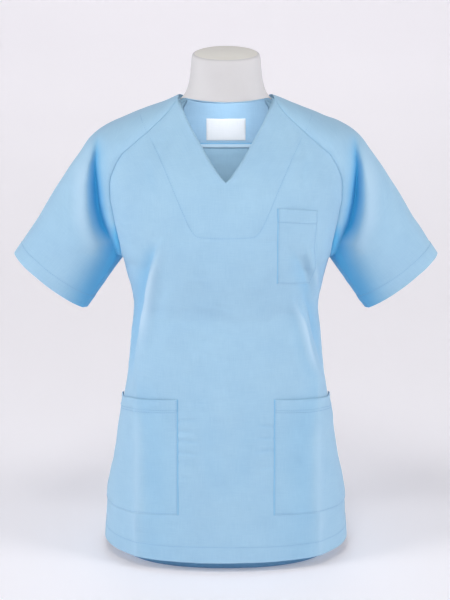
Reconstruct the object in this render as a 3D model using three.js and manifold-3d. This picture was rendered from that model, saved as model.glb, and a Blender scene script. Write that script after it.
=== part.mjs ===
import * as THREE from "three";
import Module from "manifold-3d";

// A short-sleeved V-neck scrub top with raglan sleeves, worn by a limbless dress form.
// Millimetres, +Z up, the floor at z = 0, the front towards -Y and the wearer's left towards +X.

const clothWall = 1.6;
const pocketWall = 1.4;
const facingWall = 1.0;
const labelWall = 1.0;
const seamGap = 0.3;
const layerGap = 0.4;

const hemHeight = 17;
const ventHeight = 47;
const ventGape = 3.5;
const armpitHeight = 473;
const veeHeight = 612;
const veeSideHeight = 600;
const evenRowsStart = 657;
const backNeckHeight = 699.8;
const backNeckSideHeight = 709;
const ringPower = 2.3;
const armpitHalfDepth = 62;

const pocketTopSide = 258;
const pocketBottomSide = 80;
const pocketInnerX = 73;
const lowerRowsEnd = 350;
const chestPocketBottomSide = 441;
const chestPocketTopSide = 558;
const chestPocketInnerX = 76;
const facingHalfWidth = 66;
const facingBottomSide = 621;
const facingTopInset = 12;
const labelHalfWidth = 30.5;
const labelBottomHeight = 634.5;
const labelTopHeight = 671.7;

const innerColumns = 5;
const pocketColumns = 4;
const outerColumns = 5;
const backColumns = 10;
const sleeveColumns = 20;
const cuffRows = 5;
const underarmStep = 28;
const fadeColumns = 3;
const sharpCrease = 70;
const closedTurn = -90;
const innerBow = 0.25;
const outerBow = 0.7;

// Half width of the body at the side seam, from the hem to the armpit.
const sideWidths = [
  { z: 17, side: 190.7 },
  { z: 52, side: 188.6 },
  { z: 86, side: 186.6 },
  { z: 120, side: 180.6 },
  { z: 154, side: 173 },
  { z: 220, side: 163.5 },
  { z: 286, side: 152.5 },
  { z: 352, side: 146.2 },
  { z: 395, side: 142 },
  { z: 426, side: 146.2 },
  { z: 473, side: 157.2 },
];

// Depth of the front and back on their centre lines. Above the V the front rows are the ring they would meet.
const centreDepths = [
  { z: 17, front: 134, back: 124 },
  { z: 86, front: 131, back: 123.5 },
  { z: 154, front: 127, back: 121.5 },
  { z: 220, front: 123.5, back: 116 },
  { z: 286, front: 118.5, back: 107 },
  { z: 352, front: 112, back: 96 },
  { z: 395, front: 110, back: 92 },
  { z: 426, front: 117, back: 93 },
  { z: 473, front: 126, back: 97 },
  { z: 500, front: 128, back: 99 },
  { z: 530, front: 127, back: 100 },
  { z: 560, front: 123, back: 99.5 },
  { z: 590, front: 114, back: 97.5 },
  { z: 612, front: 104, back: 94.5 },
  { z: 635, front: 90, back: 90 },
  { z: 650, front: 78, back: 86 },
  { z: 665, front: 65, back: 80.5 },
  { z: 680, front: 52, back: 73 },
  { z: 690, front: 43, back: 66.5 },
  { z: 698, front: 35, back: 60 },
  { z: 706, front: 27, back: 52 },
  { z: 716, front: 18, back: 40 },
];

// Stations of the armhole from the armpit to the neck, in order of the front seam's height.
// turn is the angle, in degrees, at which the sleeve's round section starts at its seams.
const armhole = [
  { z: 473, frontX: 157.2, frontY: 0, backX: 157.2, backY: 0, backZ: 473, topX: 275.6, topY: 0, topZ: 550.3, turn: -90 },
  { z: 479, frontX: 158, frontY: 31, backX: 158, backY: 31, backZ: 479, topX: 272.9, topY: 0, topZ: 555.5, turn: -60 },
  { z: 488, frontX: 159, frontY: 43, backX: 159, backY: 44, backZ: 488, topX: 268.6, topY: 0, topZ: 564, turn: -46 },
  { z: 504, frontX: 161, frontY: 52, backX: 160.5, backY: 55, backZ: 503, topX: 260.6, topY: 0, topZ: 576.6, turn: -33 },
  { z: 531, frontX: 166.3, frontY: 56.5, backX: 163.5, backY: 62, backZ: 531, topX: 245.5, topY: 0, topZ: 600, turn: -24 },
  { z: 558, frontX: 171, frontY: 58.5, backX: 165, backY: 66, backZ: 559, topX: 230.6, topY: 0, topZ: 621.7, turn: -19 },
  { z: 579, frontX: 174, frontY: 59.5, backX: 164, backY: 68, backZ: 582, topX: 218.5, topY: 0, topZ: 638.3, turn: -16 },
  { z: 600, frontX: 174, frontY: 60.5, backX: 158.5, backY: 69.5, backZ: 603, topX: 207.2, topY: 0.5, topZ: 654.8, turn: -12 },
  { z: 620, frontX: 168.5, frontY: 61, backX: 152, backY: 70.5, backZ: 621, topX: 192, topY: 1, topZ: 668.4, turn: -8 },
  { z: 641, frontX: 157, frontY: 59, backX: 137, backY: 70, backZ: 645, topX: 172, topY: 1.5, topZ: 680.1, turn: -4 },
  { z: 657, frontX: 139.5, frontY: 55, backX: 118, backY: 67.5, backZ: 663, topX: 151.4, topY: 2, topZ: 687.9, turn: 2 },
  { z: 671, frontX: 122, frontY: 48, backX: 100, backY: 63, backZ: 677, topX: 131.5, topY: 2.5, topZ: 696.4, turn: 6 },
  { z: 685, frontX: 105, frontY: 39, backX: 84, backY: 56, backZ: 689, topX: 111.8, topY: 3, topZ: 704.2, turn: 11 },
  { z: 699, frontX: 89.5, frontY: 28, backX: 71, backY: 49.5, backZ: 699.5, topX: 92.6, topY: 3.5, topZ: 711.6, turn: 14 },
  { z: 717.5, frontX: 73, frontY: 10, backX: 58, backY: 42, backZ: 709, topX: 71.5, topY: 4, topZ: 720.8, turn: 17 },
];

const cuff = { topX: 324.4, topZ: 475.5, underX: 214.8, underZ: 390.5, halfDepth: 46 };

// Rows of the panels below the armpit, by their height at the side seam.
const sideRows = [17, 32, 47, 80, 112, 144, 176, 208, 236, 258, 290, 321, 352, 383, 413, 441];

// The neck edge of the front from the point of the V to the shoulder.
const veeEdge = [
  { z: 612, x: 0 },
  { z: 620, x: 7.5 },
  { z: 642, x: 23 },
  { z: 661, x: 34 },
  { z: 694, x: 56 },
  { z: 718.8, x: 68 },
];

// How much higher a row of the front lies at its centre than at its side.
const rowRise = [
  { z: 17, rise: 0 },
  { z: 80, rise: 15 },
  { z: 258, rise: 21 },
  { z: 441, rise: 22 },
  { z: 558, rise: 19 },
  { z: 600, rise: 12 },
  { z: 657, rise: 6.5 },
  { z: 699, rise: 3 },
  { z: 717.5, rise: 1.3 },
];

// Outer edge of the chest pocket, which sets a column of the front.
const pocketOuterEdge = [
  { z: 17, x: 138 },
  { z: 300, x: 118 },
  { z: 441, x: 127.7 },
  { z: 558, x: 137 },
];

// The largest folds of the sleeve's front and back, a row for each point: place seen from the front,
// how far the cloth is drawn in and how wide the trough is.
const frontSleeveFold = [
  { x: 201, z: 650, depth: 4, width: 12 },
  { x: 206, z: 603, depth: 17, width: 15 },
  { x: 203, z: 567, depth: 21, width: 16 },
  { x: 195, z: 522, depth: 16, width: 14 },
  { x: 178, z: 492, depth: 7, width: 11 },
];
const backSleeveFold = [
  { x: 190, z: 640, depth: 2, width: 12 },
  { x: 199, z: 595, depth: 10, width: 15 },
  { x: 201, z: 550, depth: 12, width: 16 },
  { x: 188, z: 505, depth: 6, width: 14 },
];

// Folds drawn down from the armpits on the front. A negative depth is a ridge.
const frontFolds = [
  [
    { x: -102, z: 505, depth: -1, width: 10 },
    { x: -114, z: 460, depth: -4, width: 11 },
    { x: -125, z: 393, depth: -4, width: 12 },
    { x: -138, z: 318, depth: -1, width: 12 },
  ],
  [
    { x: 96, z: 498, depth: 1, width: 9 },
    { x: 116, z: 462, depth: 3, width: 10 },
    { x: 126, z: 430, depth: 2, width: 10 },
  ],
  [
    { x: 118, z: 412, depth: -2, width: 10 },
    { x: 130, z: 350, depth: -4, width: 12 },
    { x: 146, z: 288, depth: -1, width: 12 },
  ],
];

// The dress form: half width, depth in front and behind, and the roundness of each ring.
const formRings = [
  { z: 0, side: 165, front: 113, back: 108, power: 2.3 },
  { z: 5, side: 169, front: 117, back: 112, power: 2.3 },
  { z: 40, side: 180, front: 124, back: 116, power: 2.3 },
  { z: 80, side: 180, front: 124, back: 117, power: 2.3 },
  { z: 120, side: 174, front: 122, back: 116, power: 2.3 },
  { z: 170, side: 163, front: 119, back: 114, power: 2.3 },
  { z: 220, side: 157, front: 116, back: 109, power: 2.3 },
  { z: 286, side: 146, front: 111, back: 100, power: 2.3 },
  { z: 352, side: 139.5, front: 104.5, back: 89, power: 2.3 },
  { z: 395, side: 135.5, front: 102.5, back: 85, power: 2.3 },
  { z: 426, side: 139.5, front: 109, back: 86, power: 2.3 },
  { z: 473, side: 150, front: 118, back: 90, power: 2.3 },
  { z: 500, side: 157, front: 120, back: 92, power: 2.3 },
  { z: 530, side: 166, front: 119, back: 93, power: 2.3 },
  { z: 560, side: 175, front: 115, back: 92.5, power: 2.3 },
  { z: 590, side: 183, front: 106, back: 90.5, power: 2.3 },
  { z: 615, side: 189, front: 95, back: 87, power: 2.3 },
  { z: 635, side: 191, front: 82, back: 83, power: 2.3 },
  { z: 650, side: 188, front: 70, back: 79, power: 2.3 },
  { z: 662, side: 182, front: 59, back: 75, power: 2.3 },
  { z: 672, side: 174, front: 50, back: 70, power: 2.3 },
  { z: 680, side: 163.5, front: 43, back: 66, power: 2.3 },
  { z: 688, side: 146, front: 36, back: 58, power: 2.1 },
  { z: 694, side: 132.5, front: 31, back: 54, power: 2 },
  { z: 700, side: 117.5, front: 27, back: 51.5, power: 1.85 },
  { z: 706, side: 101.5, front: 25, back: 50.5, power: 1.7 },
  { z: 711, side: 87, front: 27, back: 50.5, power: 1.55 },
  { z: 715, side: 75, front: 38, back: 51, power: 1.5 },
  { z: 718, side: 68, front: 43.5, back: 52, power: 1.7 },
  { z: 722.4, side: 64.1, front: 44.5, back: 52, power: 1.9 },
  { z: 729, side: 60.2, front: 44, back: 52, power: 2 },
  { z: 737.7, side: 57.3, front: 43.5, back: 51.5, power: 2 },
  { z: 750, side: 54.7, front: 43, back: 51, power: 2 },
  { z: 768, side: 52.8, front: 42.5, back: 50.5, power: 2 },
  { z: 780, side: 51.9, front: 42, back: 50, power: 2 },
  { z: 784.2, side: 50.6, front: 40.8, back: 48.8, power: 2 },
  { z: 785.7, side: 47.5, front: 38, back: 46, power: 2 },
];
const formSegments = 36;

// The neck's cap leans towards the front.
const neckTilt = [
  { z: 737.7, tilt: 0 },
  { z: 768, tilt: 0.05 },
  { z: 785.7, tilt: 0.083 },
];

// The open way through the form under its neck, seen along its own slope: right half of its outline at y = 0.
const openingOutline = [
  { x: 0, z: 711.1 },
  { x: 20, z: 711.9 },
  { x: 38, z: 713.8 },
  { x: 52, z: 716.2 },
  { x: 59, z: 717.4 },
  { x: 62.5, z: 715.8 },
  { x: 64, z: 711 },
  { x: 63, z: 699 },
  { x: 57, z: 676 },
  { x: 47, z: 648 },
  { x: 35, z: 615 },
  { x: 20, z: 580 },
  { x: 9, z: 567 },
  { x: 0, z: 564 },
];
const openingSlope = 0.196;
const openingEyeDistance = 3400;
const openingFront = -170;
const openingBack = 150;

const colours = { cloth: "#a9cfea", inside: "#9cc4e2", label: "#e9edf2", form: "#dedddc" };

const radians = (degrees) => degrees * Math.PI / 180;

// A smooth curve through two columns of a table, with no overshoot between its rows.
function tableCurve(table, from, to) {
  const at = table.map((row) => row[from]);
  const value = table.map((row) => row[to]);
  const step = at.slice(1).map((_, i) => (value[i + 1] - value[i]) / (at[i + 1] - at[i]));
  const slope = at.map((_, i) => {
    const before = step[Math.max(i - 1, 0)];
    const after = step[Math.min(i, step.length - 1)];
    return before * after <= 0 ? 0 : 2 * before * after / (before + after);
  });
  return (x) => {
    const place = Math.min(Math.max(x, at[0]), at[at.length - 1]);
    let i = 0;
    while (i < at.length - 2 && place > at[i + 1]) {
      i += 1;
    }
    const run = at[i + 1] - at[i];
    const t = (place - at[i]) / run;
    const s = 1 - t;
    return s * s * (1 + 2 * t) * value[i] + t * t * (3 - 2 * t) * value[i + 1]
      + run * t * s * (s * slope[i] - t * slope[i + 1]);
  };
}

const sideWidth = tableCurve(sideWidths, "z", "side");
const riseAt = tableCurve(rowRise, "z", "rise");
const outerEdgeAt = tableCurve(pocketOuterEdge, "z", "x");
const across = (angle) => Math.pow(Math.sin(angle), 2 / ringPower);
const along = (angle) => Math.pow(Math.cos(angle), 2 / ringPower);
const angleOfWidth = (ratio) => Math.asin(Math.pow(Math.min(ratio, 1), ringPower / 2));
const angleOfDepth = (ratio) => Math.acos(Math.pow(Math.min(ratio, 1), ringPower / 2));

// One half of the body, front or back: rounded rings whose depth comes from the centre line. Above the
// armpit each ring is as wide as it must be to pass through the raglan seam.
function bodyHalf(name, direction) {
  const depthAt = tableCurve(centreDepths, "z", name);
  const heightKey = name === "back" ? "backZ" : "z";
  const seamX = tableCurve(armhole, heightKey, `${name}X`);
  const seamY = tableCurve(armhole, heightKey, `${name}Y`);
  const seamAngle = (z) => (z <= armpitHeight ? Math.PI / 2 : angleOfDepth(seamY(z) / depthAt(z)));
  const widthAt = (z) => (z <= armpitHeight ? sideWidth(z) : seamX(z) / across(seamAngle(z)));
  const point = (angle, z, side) => new THREE.Vector3(
    side * widthAt(z) * across(angle),
    direction * depthAt(z) * along(angle),
    z,
  );
  return { seamAngle, widthAt, point };
}

const frontHalf = bodyHalf("front", -1);
const backHalf = bodyHalf("back", 1);

// How far a trough or ridge that follows a path moves the cloth at a place seen from the front.
function foldDepth(path, x, z) {
  let nearest = { distance: Infinity, depth: 0, width: 1 };
  for (let i = 0; i + 1 < path.length; i += 1) {
    const a = path[i];
    const b = path[i + 1];
    const run = (b.x - a.x) ** 2 + (b.z - a.z) ** 2;
    const t = THREE.MathUtils.clamp(((x - a.x) * (b.x - a.x) + (z - a.z) * (b.z - a.z)) / run, 0, 1);
    const distance = Math.hypot(x - THREE.MathUtils.lerp(a.x, b.x, t), z - THREE.MathUtils.lerp(a.z, b.z, t));
    if (distance < nearest.distance) {
      nearest = {
        distance,
        depth: THREE.MathUtils.lerp(a.depth, b.depth, t),
        width: THREE.MathUtils.lerp(a.width, b.width, t),
      };
    }
  }
  return nearest.depth * Math.exp(-((nearest.distance / nearest.width) ** 2));
}

// A surface of cloth as points shared between its grids, with triangles that face outwards.
function newSurface() {
  return { points: [], faces: [], byPlace: new Map() };
}

const placeKey = (point) => point.toArray().map((value) => Math.round(value * 1000)).join(" ");

function addGrid(surface, grid, flip) {
  const index = grid.map((row) => row.map((point) => {
    const key = placeKey(point);
    if (!surface.byPlace.has(key)) {
      surface.byPlace.set(key, surface.points.length);
      surface.points.push(point.clone());
    }
    return surface.byPlace.get(key);
  }));
  for (let r = 0; r + 1 < index.length; r += 1) {
    for (let c = 0; c + 1 < index[r].length; c += 1) {
      const a = index[r][c];
      const b = index[r][c + 1];
      const d = index[r + 1][c];
      const e = index[r + 1][c + 1];
      for (const face of [[a, b, e], [a, e, d]]) {
        if (new Set(face).size === 3) {
          surface.faces.push(flip ? [face[0], face[2], face[1]] : face);
        }
      }
    }
  }
  return index;
}

// Directed edges that only one triangle has: the open border of a surface.
function borderEdges(surface) {
  const edges = new Map();
  for (const [a, b, c] of surface.faces) {
    for (const [from, to] of [[a, b], [b, c], [c, a]]) {
      edges.set(`${from} ${to}`, [from, to]);
    }
  }
  return [...edges.values()].filter(([from, to]) => !edges.has(`${to} ${from}`));
}

function addNormals(surface) {
  surface.normals = surface.points.map(() => new THREE.Vector3());
  for (const [a, b, c] of surface.faces) {
    const ab = surface.points[b].clone().sub(surface.points[a]);
    const ac = surface.points[c].clone().sub(surface.points[a]);
    const normal = ab.cross(ac);
    for (const corner of [a, b, c]) {
      surface.normals[corner].add(normal);
    }
  }
  surface.normals.forEach((normal) => normal.normalize());
}

// Where surfaces share border points they are sewn: both take one common normal there, so that their edges
// are parallel, and both draw back by half of the seam gap. At a sharp crease, as under the arm, they keep
// their own normals and draw back as far as their walls are thick there.
function openSeams(surfaces) {
  const shared = new Map();
  for (const surface of surfaces) {
    surface.border = borderEdges(surface);
    const onBorder = new Set(surface.border.flat());
    for (const i of onBorder) {
      const key = placeKey(surface.points[i]);
      shared.set(key, [...(shared.get(key) ?? []), { surface, i }]);
    }
    surface.inwards = new Map();
    for (const [from, to] of surface.border) {
      const edge = surface.points[to].clone().sub(surface.points[from]).normalize();
      for (const i of [from, to]) {
        const inward = surface.normals[i].clone().cross(edge).normalize();
        surface.inwards.set(i, [...(surface.inwards.get(i) ?? []), inward]);
      }
    }
  }
  for (const meeting of shared.values()) {
    if (meeting.length < 2) {
      continue;
    }
    const common = new THREE.Vector3();
    meeting.forEach(({ surface, i }) => common.add(surface.normals[i]));
    common.normalize();
    const normals = meeting.map(({ surface, i }) => surface.normals[i].clone());
    const crease = Math.max(...normals.map((normal) => Math.max(...normals.map((other) => normal.angleTo(other)))));
    const sharp = crease > radians(sharpCrease);
    const inset = sharp ? 0.5 * clothWall * Math.tan(Math.min(crease, radians(150)) / 2) : 0;
    for (const { surface, i } of meeting) {
      const [first, second] = surface.inwards.get(i);
      const spread = Math.max(1 + first.dot(second), 0.5);
      const move = first.clone().add(second).multiplyScalar((inset + 0.6 * seamGap) / spread);
      const stretch = 1 / Math.max(common.dot(surface.normals[i]), 0.75);
      surface.points[i].add(move);
      if (!sharp) {
        surface.normals[i].copy(common).multiplyScalar(stretch);
      }
    }
  }
}

function meshOf(name, vertices, faces, colour, roughness) {
  const geometry = new THREE.BufferGeometry();
  geometry.setAttribute("position", new THREE.Float32BufferAttribute(vertices, 3));
  geometry.setIndex(faces);
  geometry.computeVertexNormals();
  const mesh = new THREE.Mesh(geometry, new THREE.MeshStandardMaterial({ color: colour, roughness, metalness: 0 }));
  mesh.name = name;
  return mesh;
}

// The wall of a piece: its surface moved out and in, closed round its border.
function wallMesh(name, surface, wall, lift, colour) {
  const count = surface.points.length;
  const vertices = [];
  for (const offset of [lift + wall / 2, lift - wall / 2]) {
    surface.points.forEach((point, i) => {
      vertices.push(...point.clone().addScaledVector(surface.normals[i], offset).toArray());
    });
  }
  const faces = [];
  for (const [a, b, c] of surface.faces) {
    faces.push(a, b, c, a + count, c + count, b + count);
  }
  for (const [from, to] of borderEdges(surface)) {
    faces.push(to, from, from + count, to, from + count, to + count);
  }
  return meshOf(name, vertices, faces, colour, 0.9);
}

// Part of a panel's grid as a surface of its own, on the panel's own points.
function patchSurface(panel, index, flip) {
  const patch = newSurface();
  patch.normals = [];
  const place = new Map();
  const own = (i) => {
    if (!place.has(i)) {
      place.set(i, patch.points.length);
      patch.points.push(panel.points[i].clone());
      patch.normals.push(panel.normals[i].clone());
    }
    return place.get(i);
  };
  for (let r = 0; r + 1 < index.length; r += 1) {
    for (let c = 0; c + 1 < index[r].length; c += 1) {
      const [a, b, d, e] = [index[r][c], index[r][c + 1], index[r + 1][c], index[r + 1][c + 1]].map(own);
      for (const face of [[a, b, e], [a, e, d]]) {
        patch.faces.push(flip ? [face[0], face[2], face[1]] : face);
      }
    }
  }
  return patch;
}

const veeEdgeX = tableCurve(veeEdge, "z", "x");

const panelRows = [...sideRows, ...armhole.map((station) => station.z)];
const armpitRow = sideRows.length;
const veeRow = panelRows.indexOf(veeSideHeight);

// The vent: below its top the front and back edges part a little more towards the hem.
function ventOpening(z) {
  return z < ventHeight ? ventGape * (ventHeight - z) / (ventHeight - hemHeight) + seamGap / 2 : 0;
}

function frontGrid(side) {
  return panelRows.map((sideZ, r) => {
    const centreZ = r === veeRow ? veeHeight : sideZ + riseAt(sideZ);
    const start = r > veeRow ? angleOfWidth(veeEdgeX(centreZ) / frontHalf.widthAt(centreZ)) : 0;
    const end = frontHalf.seamAngle(sideZ);
    const innerX = sideZ < lowerRowsEnd ? pocketInnerX : chestPocketInnerX;
    const inner = angleOfWidth(innerX / frontHalf.widthAt(centreZ - innerBow * riseAt(sideZ)));
    const outer = angleOfWidth(outerEdgeAt(sideZ) / frontHalf.widthAt(centreZ - outerBow * riseAt(sideZ)));
    const even = THREE.MathUtils.smoothstep(sideZ, chestPocketTopSide, evenRowsStart);
    const columns = innerColumns + pocketColumns + outerColumns;
    const row = [];
    for (let c = 0; c <= columns; c += 1) {
      let angle;
      if (c <= innerColumns) {
        angle = THREE.MathUtils.lerp(start, inner, c / innerColumns);
      } else if (c <= innerColumns + pocketColumns) {
        angle = THREE.MathUtils.lerp(inner, outer, (c - innerColumns) / pocketColumns);
      } else {
        angle = THREE.MathUtils.lerp(outer, end, (c - innerColumns - pocketColumns) / outerColumns);
      }
      angle = THREE.MathUtils.lerp(angle, THREE.MathUtils.lerp(start, end, c / columns), even);
      const spread = ((across(angle) - across(start)) / (across(end) - across(start))) ** 2;
      const point = frontHalf.point(angle, THREE.MathUtils.lerp(centreZ, sideZ, spread), side);
      const fade = Math.min(1, (columns - c) / fadeColumns);
      const drawn = frontFolds.reduce((sum, path) => sum + foldDepth(path, point.x, point.z), 0);
      point.y += fade * drawn;
      if (c === columns) {
        point.y -= ventOpening(sideZ);
      }
      row.push(point);
    }
    return row;
  });
}

function backRowHeight(r, spread) {
  const sideZ = r < armpitRow ? panelRows[r] : armhole[r - armpitRow].backZ;
  const reach = (backNeckHeight - armpitHeight) / (backNeckSideHeight - armpitHeight);
  const centreZ = r < armpitRow ? sideZ : armpitHeight + (sideZ - armpitHeight) * reach;
  return THREE.MathUtils.lerp(centreZ, sideZ, spread * spread);
}

function backGrid(side) {
  return panelRows.map((_, r) => {
    const sideZ = backRowHeight(r, 1);
    const end = backHalf.seamAngle(sideZ);
    const row = [];
    for (let c = 0; c <= backColumns; c += 1) {
      const angle = end * c / backColumns;
      const point = backHalf.point(angle, backRowHeight(r, across(angle) / across(end)), side);
      if (c === backColumns) {
        point.y += ventOpening(sideZ);
      }
      row.push(point);
    }
    return row;
  });
}

// The angle of a section's column. A closed ring takes one wide step on each side of the underarm seam, so
// that next to the armpit the sleeve leaves the body at once.
function sectionAngle(turn, c) {
  if (turn > radians(closedTurn)) {
    return THREE.MathUtils.lerp(turn, Math.PI - turn, c / sleeveColumns);
  }
  if (c === 0 || c === sleeveColumns) {
    return c === 0 ? turn : Math.PI - turn;
  }
  const first = turn + radians(underarmStep);
  return THREE.MathUtils.lerp(first, Math.PI - first, (c - 1) / (sleeveColumns - 2));
}

// A sleeve's sections, from the cuff to the armpit as closed rings and on to the neck as arcs between
// the two raglan seams: point = top - up (1 - sin a) + forward cos a.
function sleeveGrid(side) {
  const rows = [];
  const firstTop = new THREE.Vector3(armhole[0].topX, 0, armhole[0].topZ);
  const firstUnder = new THREE.Vector3(armhole[0].frontX, 0, armhole[0].z);
  const cuffTop = new THREE.Vector3(cuff.topX, 0, cuff.topZ);
  const cuffUnder = new THREE.Vector3(cuff.underX, 0, cuff.underZ);
  for (let r = 0; r < cuffRows; r += 1) {
    const t = r / cuffRows;
    const top = cuffTop.clone().lerp(firstTop, t);
    const under = cuffUnder.clone().lerp(firstUnder, t);
    const halfDepth = THREE.MathUtils.lerp(cuff.halfDepth, armpitHalfDepth, t);
    rows.push({ top, front: under, back: under, halfDepth, turn: radians(closedTurn) });
  }
  for (const station of armhole) {
    const top = new THREE.Vector3(station.topX, station.topY, station.topZ);
    const front = new THREE.Vector3(station.frontX, -station.frontY, station.z);
    const back = new THREE.Vector3(station.backX, station.backY, station.backZ);
    rows.push({ top, front, back, halfDepth: armpitHalfDepth, turn: radians(station.turn) });
  }
  return rows.map(({ top, front, back, halfDepth, turn }) => {
    const closed = turn <= radians(closedTurn);
    const section = [];
    for (let c = 0; c <= sleeveColumns; c += 1) {
      const angle = sectionAngle(turn, c);
      const forward = angle <= Math.PI / 2;
      const seam = forward ? front : back;
      const depth = closed ? halfDepth : Math.abs(seam.y - top.y) / Math.cos(turn);
      const cross = new THREE.Vector3(0, forward ? -depth : depth, 0);
      const up = top.clone().sub(seam).addScaledVector(cross, closed ? 0 : Math.cos(turn));
      up.divideScalar(1 - Math.sin(turn));
      const point = top.clone().addScaledVector(up, Math.sin(angle) - 1);
      point.addScaledVector(cross, Math.abs(Math.cos(angle)));
      const fade = closed ? 1 : Math.min(1, Math.min(c, sleeveColumns - c) / fadeColumns);
      const path = forward ? frontSleeveFold : backSleeveFold;
      const drawn = fade * Math.abs(Math.cos(angle)) * foldDepth(path, point.x, point.z);
      point.y += forward ? drawn : -drawn;
      if (c === 0 || (closed && c === sleeveColumns)) {
        point.copy(front);
      } else if (c === sleeveColumns) {
        point.copy(back);
      }
      point.x *= side;
      section.push(point);
    }
    return section;
  });
}

// Front, back and sleeves as surfaces, then their seams.
const frontSurface = newSurface();
const backSurface = newSurface();
const leftSleeve = newSurface();
const rightSleeve = newSurface();
const frontIndex = { left: addGrid(frontSurface, frontGrid(1), false), right: null };
frontIndex.right = addGrid(frontSurface, frontGrid(-1), true);
addGrid(backSurface, backGrid(1), true);
addGrid(backSurface, backGrid(-1), false);
addGrid(leftSleeve, sleeveGrid(1), false);
addGrid(rightSleeve, sleeveGrid(-1), true);
const sewn = [frontSurface, backSurface, leftSleeve, rightSleeve];
sewn.forEach(addNormals);
openSeams(sewn);

// A patch pocket on the front's own points, from one row and column to another.
function patchPocket(name, half, rows, columns) {
  const index = frontIndex[half].slice(rows[0], rows[1] + 1).map((row) => row.slice(columns[0], columns[1] + 1));
  const surface = patchSurface(frontSurface, index, half === "right");
  const lift = clothWall / 2 + layerGap + pocketWall / 2;
  return wallMesh(name, surface, pocketWall, lift, colours.cloth);
}

// A row of points on the inside of the back at equal steps across, at one of its rows.
function backStrip(r, halfWidth, steps) {
  const row = [];
  for (let c = -steps; c <= steps; c += 1) {
    const x = halfWidth * Math.abs(c) / steps;
    let z = backRowHeight(r, 0);
    for (let pass = 0; pass < 3; pass += 1) {
      const spread = (x / backHalf.widthAt(z)) / across(backHalf.seamAngle(backRowHeight(r, 1)));
      z = backRowHeight(r, spread);
    }
    row.push(backHalf.point(angleOfWidth(x / backHalf.widthAt(z)), z, Math.sign(c) || 1));
  }
  return row;
}

function insidePiece(name, rows, wall, lift, colour) {
  const surface = newSurface();
  addGrid(surface, rows, true);
  addNormals(surface);
  return wallMesh(name, surface, wall, -lift, colour);
}

function backFacing() {
  const rows = [];
  const topRow = panelRows.length - 1;
  for (let r = topRow; backRowHeight(r, 1) >= facingBottomSide; r -= 1) {
    rows.unshift(backStrip(r, r === topRow ? facingHalfWidth - facingTopInset : facingHalfWidth, 6));
  }
  return insidePiece("back_facing", rows, facingWall, clothWall / 2 + layerGap + facingWall / 2, colours.inside);
}

// The label's rows are the back's own rows between its ends, and its ends lie between two of them.
function neckLabel() {
  const strips = panelRows.map((_, r) => backStrip(r, labelHalfWidth, 3));
  const rowAt = (z) => {
    const above = strips.findIndex((strip) => strip[3].z > z);
    const t = (z - strips[above - 1][3].z) / (strips[above][3].z - strips[above - 1][3].z);
    return strips[above].map((point, i) => strips[above - 1][i].clone().lerp(point, t));
  };
  const between = strips.filter((strip) => strip[3].z > labelBottomHeight && strip[3].z < labelTopHeight);
  const rows = [rowAt(labelBottomHeight), ...between, rowAt(labelTopHeight)];
  const lift = clothWall / 2 + layerGap + facingWall + layerGap + labelWall / 2;
  return insidePiece("neck_label", rows, labelWall, lift, colours.label);
}

// A closed body from rings of equal numbers of points, with flat ends.
function loft(rings) {
  const count = rings[0].length;
  const vertices = rings.flat();
  const faces = [];
  for (let r = 0; r + 1 < rings.length; r += 1) {
    for (let c = 0; c < count; c += 1) {
      const next = (c + 1) % count;
      const a = r * count + c;
      const b = r * count + next;
      faces.push([a, b, b + count], [a, b + count, a + count]);
    }
  }
  for (const [ring, out] of [[0, false], [rings.length - 1, true]]) {
    const centre = new THREE.Vector3();
    rings[ring].forEach((point) => centre.add(point));
    centre.divideScalar(count);
    const middle = vertices.length;
    vertices.push(centre);
    for (let c = 0; c < count; c += 1) {
      const a = ring * count + c;
      const b = ring * count + (c + 1) % count;
      faces.push(out ? [a, b, middle] : [b, a, middle]);
    }
  }
  return { vertices, faces };
}

function formBody() {
  const tiltAt = tableCurve(neckTilt, "z", "tilt");
  return loft(formRings.map((ring) => {
    const points = [];
    for (let c = 0; c < formSegments; c += 1) {
      const angle = 2 * Math.PI * c / formSegments;
      const rounded = (value) => Math.sign(value) * Math.pow(Math.abs(value), 2 / ring.power);
      const depth = Math.sin(angle) < 0 ? ring.front : ring.back;
      const y = depth * rounded(Math.sin(angle));
      points.push(new THREE.Vector3(ring.side * rounded(Math.cos(angle)), y, ring.z + tiltAt(ring.z) * y));
    }
    return points;
  }));
}

function neckOpening() {
  const right = openingOutline.map(({ x, z }) => [x, z]);
  const left = openingOutline.slice(1, -1).reverse().map(({ x, z }) => [-x, z]);
  const outline = [...right, ...left];
  return loft([openingFront, openingBack].map((y) => outline.map(([x, z]) => new THREE.Vector3(
    x * (openingEyeDistance + y) / openingEyeDistance,
    y,
    z - openingSlope * y,
  ))));
}

const wasm = await Module();
wasm.setup();

function solidOf({ vertices, faces }) {
  const solid = new wasm.Manifold(new wasm.Mesh({
    numProp: 3,
    vertProperties: new Float32Array(vertices.flatMap((point) => point.toArray())),
    triVerts: new Uint32Array(faces.flat()),
  }));
  return solid;
}

function dressForm() {
  const mesh = solidOf(formBody()).subtract(solidOf(neckOpening())).getMesh();
  return meshOf("dress_form", Array.from(mesh.vertProperties), Array.from(mesh.triVerts), colours.form, 0.55);
}

const rowOf = (z) => panelRows.indexOf(z);
const allColumns = innerColumns + pocketColumns + outerColumns;
const pocketRows = [rowOf(pocketBottomSide), rowOf(pocketTopSide)];
const chestRows = [rowOf(chestPocketBottomSide), rowOf(chestPocketTopSide)];

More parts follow.
